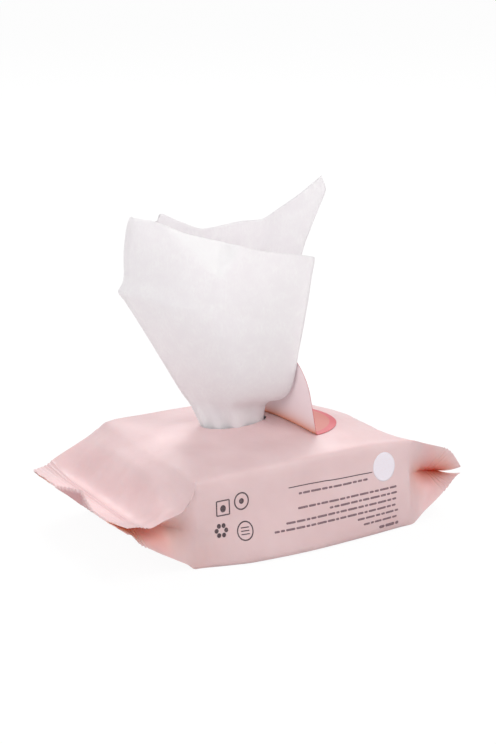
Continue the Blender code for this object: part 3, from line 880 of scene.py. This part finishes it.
def make_wipe():
    """One sheet folded along its left side: front leaf, rounded fold, back leaf and gathered foot."""
    front = cloth_relief(leaf(WIPE_FRONT_RIGHT, WIPE_FRONT_FOOT, WIPE_FRONT_TOP, FRONT_BULGE), 0.6)
    back = cloth_relief(leaf(WIPE_BACK_RIGHT, WIPE_BACK_FOOT, WIPE_BACK_TOP, BACK_BULGE), 3.1)
    light = bend_and_paint_highlight(front)
    front = with_tail(wipe_place(front), TAIL_HEIGHTS[0])
    back = with_tail(wipe_place(back), TAIL_HEIGHTS[1])
    columns = [front[:, c] for c in range(LEAF_ACROSS, 0, -1)] + rounded_fold(front, back)
    columns += [back[:, c] for c in range(1, LEAF_ACROSS + 1)]
    grid = np.stack(columns, axis=1)
    wipe = grid_object("drawn_wipe", grid, WIPE_FLAT)
    # share of painted highlight: whiter colour on the front leaf's bent triangle
    painted_highlight_share = np.zeros(grid.shape[:2])
    painted_highlight_share[TAIL_ROWS:, :LEAF_ACROSS] = light[:, :0:-1]
    store(wipe, "bent_painted_highlight", painted_highlight_share.ravel())
    thicken(wipe, WIPE_THICKNESS)
    apply_modifiers(wipe)
    bpy.ops.object.shade_smooth()
    return wipe


def thicken(piece, thickness):
    """Gives an open sheet its thickness, half to each side."""
    solid = piece.modifiers.new("thickness", "SOLIDIFY")
    solid.thickness = thickness * MM
    solid.offset = 0.0
    return solid


def grid_object(name, grid, flat):
    """Open sheet through a grid of points, with UVs in metres of the flat sheet."""
    rows, columns, _ = grid.shape
    piece = new_object(name, grid.reshape(-1, 3), grid_faces(rows, columns))
    layer = piece.data.uv_layers.new(name="flat_sheet")
    for loop in piece.data.loops:
        r, c = divmod(loop.vertex_index, columns)
        layer.data[loop.index].uv = (flat[0] * c / (columns - 1), flat[1] * r / (rows - 1))
    return piece


# The reseal label
LABEL_LENGTH = 65.0
LABEL_WIDTH = 47.0
LABEL_THICKNESS = 0.25
LABEL_GAP = 0.15
LABEL_STUCK_END = 46.5
LABEL_FOLD_X = 25.3
LABEL_Y = -2.6
LABEL_SLANT = math.radians(11)
LABEL_BEND = 1.1
LABEL_LEAN = 1.5
LABEL_CURL = 1.2
LABEL_RIM = 3.5


def label_half_width(along):
    radius = LABEL_WIDTH / 2
    off = max(radius - along, along - (LABEL_LENGTH - radius), 0.0)
    return math.sqrt(max(radius**2 - off**2, 0.0))


def label_place(along, y):
    """Where a point of the label lies, given its distance from the stuck end and its place across.

    The fold slants across the label, so the standing part leans towards the far side.
    """
    flat = np.array([LABEL_STUCK_END - along, LABEL_Y + y])
    near_end = np.array([LABEL_FOLD_X, LABEL_Y - LABEL_WIDTH / 2])
    line = np.array([-math.sin(LABEL_SLANT), math.cos(LABEL_SLANT)])
    beyond = np.array([-math.cos(LABEL_SLANT), -math.sin(LABEL_SLANT)])
    past = float((flat - near_end) @ beyond)
    base = LABEL_GAP + LABEL_THICKNESS / 2
    if past <= 0:
        return (flat[0], flat[1], film_top(*flat) + base), past
    foot = near_end + line * float((flat - near_end) @ line)
    turn = min(past / LABEL_BEND, math.pi / 2)
    rise = max(past - LABEL_BEND * math.pi / 2, 0.0)
    share_up = rise / (LABEL_LENGTH - LABEL_WIDTH / 2)
    lean = LABEL_LEAN * share_up**1.5 + LABEL_CURL * share_up * (2 * y / LABEL_WIDTH) ** 2
    place = foot + beyond * (LABEL_BEND * math.sin(turn) + lean)
    return (place[0], place[1], film_top(*foot) + base + LABEL_BEND * (1 - math.cos(turn)) + rise), past


def make_label():
    """The stuck half round follows the top film, and the rest stands up from its fold."""
    radius = LABEL_WIDTH / 2
    round_end = [radius * (1 - math.cos(a)) for a in np.linspace(0.03, math.pi / 2, 40)]
    straight = list(np.linspace(radius, LABEL_LENGTH - radius, 40)[1:-1])
    grid = []
    rim = []
    upright = []
    bend_painted_glow = []
    for along in round_end + straight + [LABEL_LENGTH - a for a in round_end[::-1]]:
        row = []
        half = label_half_width(along)
        for share in np.linspace(-1, 1, 65):
            y = share * half
            centre_off = max(radius - along, along - (LABEL_LENGTH - radius), 0.0)
            rim.append(radius - math.hypot(centre_off, y))
            place, past = label_place(along, y)
            row.append(place)
            upright.append(1.0 if past > LABEL_BEND * math.pi / 2 else 0.0)
            # share of painted glow, fading up from the label's bend
            bend_painted_glow.append(math.exp(-max(past - LABEL_BEND, 0.0) / 3.0) if past > 0 else 0.0)
        grid.append(row)
    label = grid_object("reseal_label_film", np.array(grid), (LABEL_WIDTH * MM, LABEL_LENGTH * MM))
    store(label, "rim_distance", rim)
    store(label, "upright", upright)
    store(label, "bend_painted_glow", bend_painted_glow)
    label.data.materials.append(label_print())
    label.data.materials.append(label_adhesive())
    thicken(label, LABEL_THICKNESS).material_offset = 1
    apply_modifiers(label)
    bpy.ops.object.shade_smooth_by_angle(angle=math.radians(50))
    return label


def film_top(x, y):
    """Height of the film's top at a place, found on the finished wrapper."""
    hit, place, _, _ = FILM_PIECE.ray_cast(Vector((x * MM, y * MM, 0.08)), Vector((0, 0, -1)))
    return place.z / MM if hit else top_height(x, y)


# Print on the near side: places (x, z) in millimetres
def near_side(x, z):
    """Y of the film's near side at a place, found on the finished wrapper."""
    hit, place, _, _ = FILM_PIECE.ray_cast(Vector((x * MM, -0.08, z * MM)), Vector((0, 1, 0)))
    return place.y / MM if hit else -HALF_WIDTH


def bar(start, end, width):
    """Strip from start to end as a grid of (x, z)."""
    start = np.array(start, dtype=float)
    end = np.array(end, dtype=float)
    run = end - start
    length = np.linalg.norm(run)
    normal = np.array([-run[1], run[0]]) / length * width / 2
    steps = max(int(length / 1.2), 2)
    ends = 0.35 * width / length
    shares = [0.0, ends] + list(np.linspace(ends, 1 - ends, steps)[1:-1]) + [1 - ends, 1.0]
    rows = []
    for s in shares:
        narrow = 0.55 if s in (0.0, 1.0) else 1.0
        centre = start + s * run
        rows.append([tuple(centre + normal * narrow * side) for side in (-1, -0.33, 0.33, 1)])
    return rows


def disc(centre, half_x, half_z, rings=10, steps=48, hole=0.0005):
    """Round patch or ring as a grid of (x, z)."""
    rows = []
    for k in range(rings + 1):
        r = hole + (1 - hole) * k / rings
        turns = [2 * math.pi * i / steps for i in range(steps + 1)]
        wide = half_x * r
        high = half_z * r
        rows.append([(centre[0] + wide * math.cos(a), centre[1] + high * math.sin(a)) for a in turns])
    return rows


PRINT_LIFT = 0.05
PRINT_THICKNESS = 0.03
WELD_DISTANCE = 0.01


def print_piece(name, patches, material):
    """Thin printed patches that follow the film's near side."""
    vertices = []
    faces = []
    for rows in patches:
        faces += grid_faces(len(rows), len(rows[0]), len(vertices))
        vertices += [(x, near_side(x, z) - PRINT_LIFT, z) for row in rows for x, z in row]
    piece = new_object(name, vertices, faces)
    weld = piece.modifiers.new("weld", "WELD")
    weld.merge_threshold = WELD_DISTANCE * MM
    thicken(piece, PRINT_THICKNESS)
    apply_modifiers(piece)
    face_outward(piece)
    bpy.ops.object.shade_smooth()
    piece.data.materials.append(material)
    return piece


# Rows of short plain bars: start, end, height and thickness
TEXT_LINES = [
    (-1.0, 38.5, 29.3, 1.0), (-2.6, 55.2, 22.7, 1.0), (15.0, 55.2, 19.8, 1.0), (-10.1, 55.2, 16.8, 1.0),
    (-17.0, 55.2, 13.8, 1.0), (30.2, 55.2, 10.9, 1.0), (33.6, 55.2, 7.9, 1.0), (43.1, 55.2, 4.4, 1.5),
]
BAR_GAP = 0.65
RULE = ((-6.5, 33.1), (41.5, 32.2), 0.45)
CIRCLE = ((48.5, 33.8), 6.4, 7.3)
BOX_MARK = (-42.7, 30.0)
DOT_MARK = (-32.7, 31.6)
PETAL_MARK = (-44.1, 19.0)
BAR_MARK = (-32.1, 17.1)


def make_print():
    words = []
    for number, (start, end, height, width) in enumerate(TEXT_LINES):
        x = start
        k = 0
        while x < end - 1.0:
            length = 1.8 + 3.8 * math.sin(2.3 * k + 1.7 * number) ** 2
            stop = min(x + length, end)
            words.append(bar((x, height), (stop, height), width))
            x = stop + BAR_GAP
            k += 1
    ink = ink_material("dark_plum_ink_flexo_printed", "#4A3A40")
    lines = print_piece("side_print_lines", [bar(*RULE)] + marks(), ink)
    lavender = ink_material("lavender_ink_flexo_printed", "#E6DFE8")
    circle = print_piece("side_print_circle", [disc(*CIRCLE)], lavender)
    thin_ink = ink_material("thin_plum_ink_flexo_printed", "#7A6067")
    rows = print_piece("side_print_bars", words, thin_ink)
    return [lines, rows, circle]


def marks():
    """Four plain marks: a box with a spot, a ring with a dot, a ring of petals and a ring with bars."""
    x, z = BOX_MARK
    corners = [(x + a * 3.4, z + b * 3.6) for a, b in ((-1, -1), (1, -1), (1, 1), (-1, 1))]
    patches = [bar(start, end, 0.6) for start, end in zip(corners, corners[1:] + corners[:1])]
    patches.append(disc((x, z - 0.4), 1.5, 1.8, rings=4, steps=24))
    patches.append(disc(DOT_MARK, 4.0, 4.4, rings=2, steps=40, hole=0.84))
    patches.append(disc(DOT_MARK, 1.3, 1.4, rings=4, steps=24))
    x, z = PETAL_MARK
    for turn in np.radians(range(0, 360, 60)):
        petal = (x + 2.4 * math.cos(turn), z + 2.7 * math.sin(turn))
        patches.append(disc(petal, 1.0, 1.2, rings=3, steps=18))
    x, z = BAR_MARK
    patches.append(disc(BAR_MARK, 4.2, 4.8, rings=2, steps=40, hole=0.86))
    patches += [bar((x - 2.1, z + off), (x + 2.1, z + off), 0.5) for off in (-1.6, 0.0, 1.6)]
    return patches


# Materials
def linear(code):
    """Linear colour of an sRGB hex code."""
    values = [int(code[k : k + 2], 16) / 255 for k in (1, 3, 5)]
    return (*[v / 12.92 if v <= 0.04045 else ((v + 0.055) / 1.055) ** 2.4 for v in values], 1.0)


def new_material(name):
    made = bpy.data.materials.new(name)
    made.use_nodes = True
    return made, made.node_tree.nodes["Principled BSDF"]


def set_up(made, node, settings, links):
    """Sets a node's properties and inputs, and links inputs from other nodes' outputs.

    An input goes by its name, or by its number on a mix node, which has several of one name: 0 is the share,
    6 and 7 the two colours. Its mixed colour is output 2.
    """
    for name, value in settings.items():
        if isinstance(name, int) or name in node.inputs:
            node.inputs[name].default_value = value
        else:
            setattr(node, name, value)
    for name, (source, output) in links.items():
        made.node_tree.links.new(source.outputs[output], node.inputs[name])


def add(made, kind, settings=None, links=None):
    """Adds a node to a material, with its settings and links."""
    node = made.node_tree.nodes.new(kind)
    set_up(made, node, settings or {}, links or {})
    return node


# Scales of the patterns per metre. Fibres and grain are drawn coarser than real ones, so that they show
PRINT_CLOUD = 45.0
FILM_GRAIN = 2600.0
FILM_WRINKLE = 120.0
FIBRE = 900.0
CLOTH_CLOUD = 160.0
CLOTH_HOLE = 700.0
LABEL_CLOUD = 60.0
LABEL_GRAIN = 400.0
GLUE_CLOUD = 90.0
INK_SPECK = 1500.0
PAPER_CLOUD = 30.0


def film_material():
    """Matt pink polyolefin film, gravure printed and heat sealed.

    It gives a soft sheen, faint clouds of print, and a warm glow where its doubled layers are tucked in,
    partly from light scattered in the film and partly painted salmon into its colour, with painted shade on
    the buckled seal and at the near left corner.
    """
    made, surface = new_material("matt_pink_polyolefin_film_gravure_printed")
    place = add(made, "ShaderNodeTexCoord")
    on = {"Vector": (place, "Object")}
    cloud = add(made, "ShaderNodeTexNoise", {"Scale": PRINT_CLOUD, "Detail": 3.0}, on)
    clouds = add(made, "ShaderNodeMapRange", {"From Min": 0.35, "From Max": 0.65}, {"Value": (cloud, "Fac")})
    pinks = {"data_type": "RGBA", 6: linear("#E0C1C2"), 7: linear("#DBBABB")}
    base = add(made, "ShaderNodeMix", pinks, {0: (clouds, "Result")})
    # painted glow: salmon in the tucked-in folds stands in for light through the doubled film, and a faint
    # share of it tints the near left corner as painted shade
    fold = add(made, "ShaderNodeAttribute", {"attribute_name": "gusset"})
    salmon = {"data_type": "RGBA", 7: linear("#EDA08A")}
    warm = add(made, "ShaderNodeMix", salmon, {0: (fold, "Fac"), 6: (base, 2)})
    # painted shade: the buckled seal's hanging part is coloured a darker mauve
    bent = add(made, "ShaderNodeAttribute", {"attribute_name": "bent"})
    painted_shade_mauve = {"data_type": "RGBA", 7: linear("#C79B9D")}
    shaded = add(made, "ShaderNodeMix", painted_shade_mauve, {0: (bent, "Fac"), 6: (warm, 2)})
    grain = add(made, "ShaderNodeTexNoise", {"Scale": FILM_GRAIN, "Detail": 2.0}, on)
    waves = {"Scale": FILM_WRINKLE, "Detail": 4.0, "Roughness": 0.55}
    wrinkle = add(made, "ShaderNodeTexNoise", waves, on)
    fine = add(made, "ShaderNodeBump", {"Strength": 0.12, "Distance": 0.0002}, {"Height": (grain, "Fac")})
    over = {"Height": (wrinkle, "Fac"), "Normal": (fine, "Normal")}
    soft = add(made, "ShaderNodeBump", {"Strength": 0.35, "Distance": 0.0006}, over)
    sheen = {"From Min": 0.3, "From Max": 0.7, "To Min": 0.4, "To Max": 0.52}
    rough = add(made, "ShaderNodeMapRange", sheen, {"Value": (wrinkle, "Fac")})
    # light wanders further through the doubled film of the tucked-in folds, which makes them glow
    glow = add(made, "ShaderNodeMapRange", {"To Min": 0.12, "To Max": 0.6}, {"Value": (fold, "Fac")})
    depths = {"Subsurface Radius": (0.004, 0.0012, 0.0008), "Subsurface Scale": 1.0}
    links = {"Base Color": (shaded, 2), "Roughness": (rough, "Result"), "Normal": (soft, "Normal")}
    set_up(made, surface, {"Specular IOR Level": 0.35}, links)
    set_up(made, surface, depths, {"Subsurface Weight": (glow, "Result")})
    return made


def nonwoven_material(name, tone, translucent):
    """White spunlace nonwoven of hydroentangled fibres, moist: dull, clouded, and thin in the light, painted
    whiter as a highlight where the drawn wipe's triangle bends back.
    """
    made, surface = new_material(name)
    place = add(made, "ShaderNodeTexCoord")
    on = {"Vector": (place, "Object")}
    stretch = add(made, "ShaderNodeMapping", {"Scale": (1.0, 1.0, 0.45)}, on)
    strands = {"Scale": FIBRE, "Detail": 5.0, "Roughness": 0.6}
    fibre = add(made, "ShaderNodeTexNoise", strands, {"Vector": (stretch, "Vector")})
    cloud = add(made, "ShaderNodeTexNoise", {"Scale": CLOTH_CLOUD, "Detail": 3.0}, on)
    holes = add(made, "ShaderNodeTexVoronoi", {"Scale": CLOTH_HOLE}, on)
    patches = add(made, "ShaderNodeMapRange", {"From Min": 0.3, "From Max": 0.7}, {"Value": (cloud, "Fac")})
    whites = {"data_type": "RGBA", 6: linear(tone[0]), 7: linear(tone[1])}
    base = add(made, "ShaderNodeMix", whites, {0: (patches, "Result")})
    weave = add(made, "ShaderNodeMapRange", {"From Min": 0.35, "From Max": 0.65}, {"Value": (fibre, "Fac")})
    strand_white = {"data_type": "RGBA", 6: linear(tone[1])}
    cloth = add(made, "ShaderNodeMix", strand_white, {0: (weave, "Result"), 7: (base, 2)})
    # painted highlight: where the drawn wipe's triangle bends back, the cloth is coloured towards pure white
    bent = add(made, "ShaderNodeAttribute", {"attribute_name": "bent_painted_highlight"})
    painted_highlight_white = {"data_type": "RGBA", 7: linear("#FFFFFF")}
    colour = add(made, "ShaderNodeMix", painted_highlight_white, {0: (bent, "Fac"), 6: (cloth, 2)})
    bump = add(made, "ShaderNodeBump", {"Strength": 0.3, "Distance": 0.0003}, {"Height": (fibre, "Fac")})
    over = {"Height": (holes, "Distance"), "Normal": (bump, "Normal")}
    dimple = add(made, "ShaderNodeBump", {"Strength": 0.2, "Distance": 0.0002}, over)
    dull = {"Roughness": 0.78, "Specular IOR Level": 0.25, "Sheen Weight": 0.15}
    set_up(made, surface, dull, {"Base Color": (colour, 2), "Normal": (dimple, "Normal")})
    if translucent:
        let_light_through(made, surface, colour, translucent)
    return made


def let_light_through(made, surface, colour, share, where=None):
    """Mixes in a share of light that passes through a thin sheet, everywhere or where a stored value is 1."""
    through = add(made, "ShaderNodeBsdfTranslucent", {}, {"Color": (colour, 2)})
    both = add(made, "ShaderNodeMixShader", {0: share}, {1: (surface, 0), 2: (through, 0)})
    if where:
        value = add(made, "ShaderNodeAttribute", {"attribute_name": where})
        part = add(made, "ShaderNodeMath", {"operation": "MULTIPLY", 1: share}, {0: (value, "Fac")})
        set_up(made, both, {}, {0: (part, 0)})
    set_up(made, made.node_tree.nodes["Material Output"], {}, {"Surface": (both, 0)})


def label_print():
    """Satin label film with a coral border printed around a salmon field: smooth, with a soft shine."""
    made, surface = new_material("satin_polypropylene_label_film_printed_side")
    distance = add(made, "ShaderNodeAttribute", {"attribute_name": "rim_distance"})
    on = {"Vector": (add(made, "ShaderNodeTexCoord"), "Object")}
    border = {"From Min": LABEL_RIM - 0.15, "From Max": LABEL_RIM + 0.15}
    edge = add(made, "ShaderNodeMapRange", border, {"Value": (distance, "Fac")})
    cloud = add(made, "ShaderNodeTexNoise", {"Scale": LABEL_CLOUD, "Detail": 2.0}, on)
    salmon = {"data_type": "RGBA", 6: linear("#C8766C"), 7: linear("#C36F65")}
    inner = add(made, "ShaderNodeMix", salmon, {0: (cloud, "Fac")})
    coral = {"data_type": "RGBA", 6: linear("#C95760")}
    colour = add(made, "ShaderNodeMix", coral, {0: (edge, "Result"), 7: (inner, 2)})
    grain = add(made, "ShaderNodeTexNoise", {"Scale": LABEL_GRAIN, "Detail": 3.0}, on)
    bump = add(made, "ShaderNodeBump", {"Strength": 0.12, "Distance": 0.0002}, {"Height": (grain, "Fac")})
    set_up(made, surface, {"Roughness": 0.42}, {"Base Color": (colour, 2), "Normal": (bump, "Normal")})
    let_light_through(made, surface, colour, 0.25, "upright")
    return made


def label_adhesive():
    """Label underside: clear tacky adhesive over a white back, glossier, and coloured orange where it is
    bent, as a painted glow.
    """
    made, surface = new_material("label_film_underside_clear_adhesive_coated")
    on = {"Vector": (add(made, "ShaderNodeTexCoord"), "Object")}
    cloud = add(made, "ShaderNodeTexNoise", {"Scale": GLUE_CLOUD, "Detail": 4.0}, on)
    whites = {"data_type": "RGBA", 6: linear("#FBEFF2"), 7: linear("#F7E9ED")}
    backing = add(made, "ShaderNodeMix", whites, {0: (cloud, "Fac")})
    # painted glow: near the bend the underside is coloured orange, standing in for light through the label
    bend = add(made, "ShaderNodeAttribute", {"attribute_name": "bend_painted_glow"})
    warm = {"data_type": "RGBA", 7: linear("#E08A62")}
    colour = add(made, "ShaderNodeMix", warm, {0: (bend, "Fac"), 6: (backing, 2)})
    bump = add(made, "ShaderNodeBump", {"Strength": 0.2, "Distance": 0.0003}, {"Height": (cloud, "Fac")})
    set_up(made, surface, {"Roughness": 0.36}, {"Base Color": (colour, 2), "Normal": (bump, "Normal")})
    let_light_through(made, surface, colour, 0.12, "upright")
    return made


def ink_material(name, code):
    """Thin flexo-printed ink, a little uneven where the film's grain shows through."""
    made, surface = new_material(name)
    on = {"Vector": (add(made, "ShaderNodeTexCoord"), "Object")}
    speck = add(made, "ShaderNodeTexNoise", {"Scale": INK_SPECK, "Detail": 2.0}, on)
    worn = {"From Min": 0.5, "From Max": 0.8, "To Max": 0.25}
    fade = add(made, "ShaderNodeMapRange", worn, {"Value": (speck, "Fac")})
    inks = {"data_type": "RGBA", 6: linear(code), 7: linear("#E3C6C6")}
    colour = add(made, "ShaderNodeMix", inks, {0: (fade, "Result")})
    set_up(made, surface, {"Roughness": 0.45}, {"Base Color": (colour, 2)})
    return made


def floor_material():
    """White paper sweep: dull, and mostly glowing to the camera, so it stays near white in the shadow."""
    made, surface = new_material("white_studio_paper_sweep")
    on = {"Vector": (add(made, "ShaderNodeTexCoord"), "Object")}
    speck = add(made, "ShaderNodeTexNoise", {"Scale": PAPER_CLOUD, "Detail": 2.0}, on)
    greys = {"data_type": "RGBA", 6: linear("#E8E8E8"), 7: linear("#E4E4E4")}
    colour = add(made, "ShaderNodeMix", greys, {0: (speck, "Fac")})
    set_up(made, surface, {"Roughness": 0.9, "Specular IOR Level": 0.0}, {"Base Color": (colour, 2)})
    glow = add(made, "ShaderNodeEmission", {"Strength": 1.03})
    seen = add(made, "ShaderNodeLightPath")
    most = add(made, "ShaderNodeMath", {"operation": "MULTIPLY", 1: 0.9}, {0: (seen, "Is Camera Ray")})
    both = add(made, "ShaderNodeMixShader", {}, {0: (most, 0), 1: (surface, 0), 2: (glow, 0)})
    set_up(made, made.node_tree.nodes["Material Output"], {}, {"Surface": (both, 0)})
    return made


FLOOR_SIZE = 30.0


def make_floor():
    deselect_all()
    bpy.ops.mesh.primitive_plane_add(size=FLOOR_SIZE, location=(0, 0, 0))
    floor = bpy.context.object
    floor.name = "studio_floor"
    floor.data.materials.append(floor_material())


# Lamps around the pack: name, place, height aimed at, power in watts and colour
LAMP_SIZE = 0.6
LAMPS = [
    ("key_softbox", (0.5, -0.7, 0.9), 0.05, 4.5, (1.0, 0.99, 0.97)),
    ("rim_softbox", (0.35, 0.8, 0.9), 0.05, 7.0, (1.0, 1.0, 1.0)),
    ("left_fill", (-0.9, -0.35, 0.6), 0.08, 3.4, (1.0, 1.0, 1.0)),
]
SKY_STRENGTH = 0.64


def set_lights():
    world = bpy.data.worlds.new("studio")
    bpy.context.scene.world = world
    world.use_nodes = True
    sky = world.node_tree.nodes["Background"]
    sky.inputs["Color"].default_value = (1.0, 1.0, 1.0, 1.0)
    sky.inputs["Strength"].default_value = SKY_STRENGTH
    for name, place, aim, power, colour in LAMPS:
        light = bpy.data.lights.new(name, "AREA")
        light.shape = "SQUARE"
        light.size = LAMP_SIZE
        light.energy = power
        light.color = colour
        lamp = bpy.data.objects.new(name, light)
        bpy.context.scene.collection.objects.link(lamp)
        lamp.location = place
        lamp.rotation_euler = (Vector((0, 0, aim)) - Vector(place)).to_track_quat("-Z", "Y").to_euler()


def set_camera():
    lens = bpy.data.cameras.new("camera")
    camera = bpy.data.objects.new("camera", lens)
    bpy.context.scene.collection.objects.link(camera)
    lens.sensor_fit = "AUTO"
    lens.sensor_width = SENSOR
    lens.lens = SENSOR * FOCAL_PIXELS / IMAGE_HEIGHT
    lens.clip_start = 0.01
    lens.clip_end = 100.0
    level = math.cos(CAMERA_RISE)
    back = Vector((-math.sin(CAMERA_TURN) * level, -math.cos(CAMERA_TURN) * level, math.sin(CAMERA_RISE)))
    target = Vector((0, 0, LOOK_AT_HEIGHT)) * MM
    camera.location = target + back * CAMERA_DISTANCE * MM
    camera.rotation_euler = (-back).to_track_quat("-Z", "Y").to_euler()
    bpy.context.scene.camera = camera


FILM_PIECE = make_film()
# the cuts leave an empty material slot
FILM_PIECE.data.materials.clear()
FILM_PIECE.data.materials.append(film_material())
select_only(FILM_PIECE)
bpy.ops.object.shade_smooth_by_angle(angle=math.radians(38))
bpy.context.view_layer.update()
stack_piece = make_stack()
stack_piece.data.materials.append(
    nonwoven_material("moist_spunlace_nonwoven_folded_stack", ("#EFEBED", "#E6DFE3"), 0.0)
)
wipe_piece = make_wipe()
wipe_piece.data.materials.append(
    nonwoven_material("white_spunlace_nonwoven_drawn_sheet", ("#FCFBFB", "#F7F4F6"), 0.36)
)
label_piece = make_label()
print_pieces = make_print()

for piece, node, slot in (
    (FILM_PIECE, "film_wrapper", "printed_film"),
    (label_piece, "reseal_label", "label_film"),
    (stack_piece, "wipe_stack", "nonwoven"),
    (wipe_piece, "pulled_wipe", "nonwoven"),
):
    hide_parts(node)
    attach(piece, "root")
for piece in print_pieces:
    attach(piece, "root")

make_floor()
set_camera()
set_lights()
bpy.context.scene.view_settings.view_transform = "Standard"
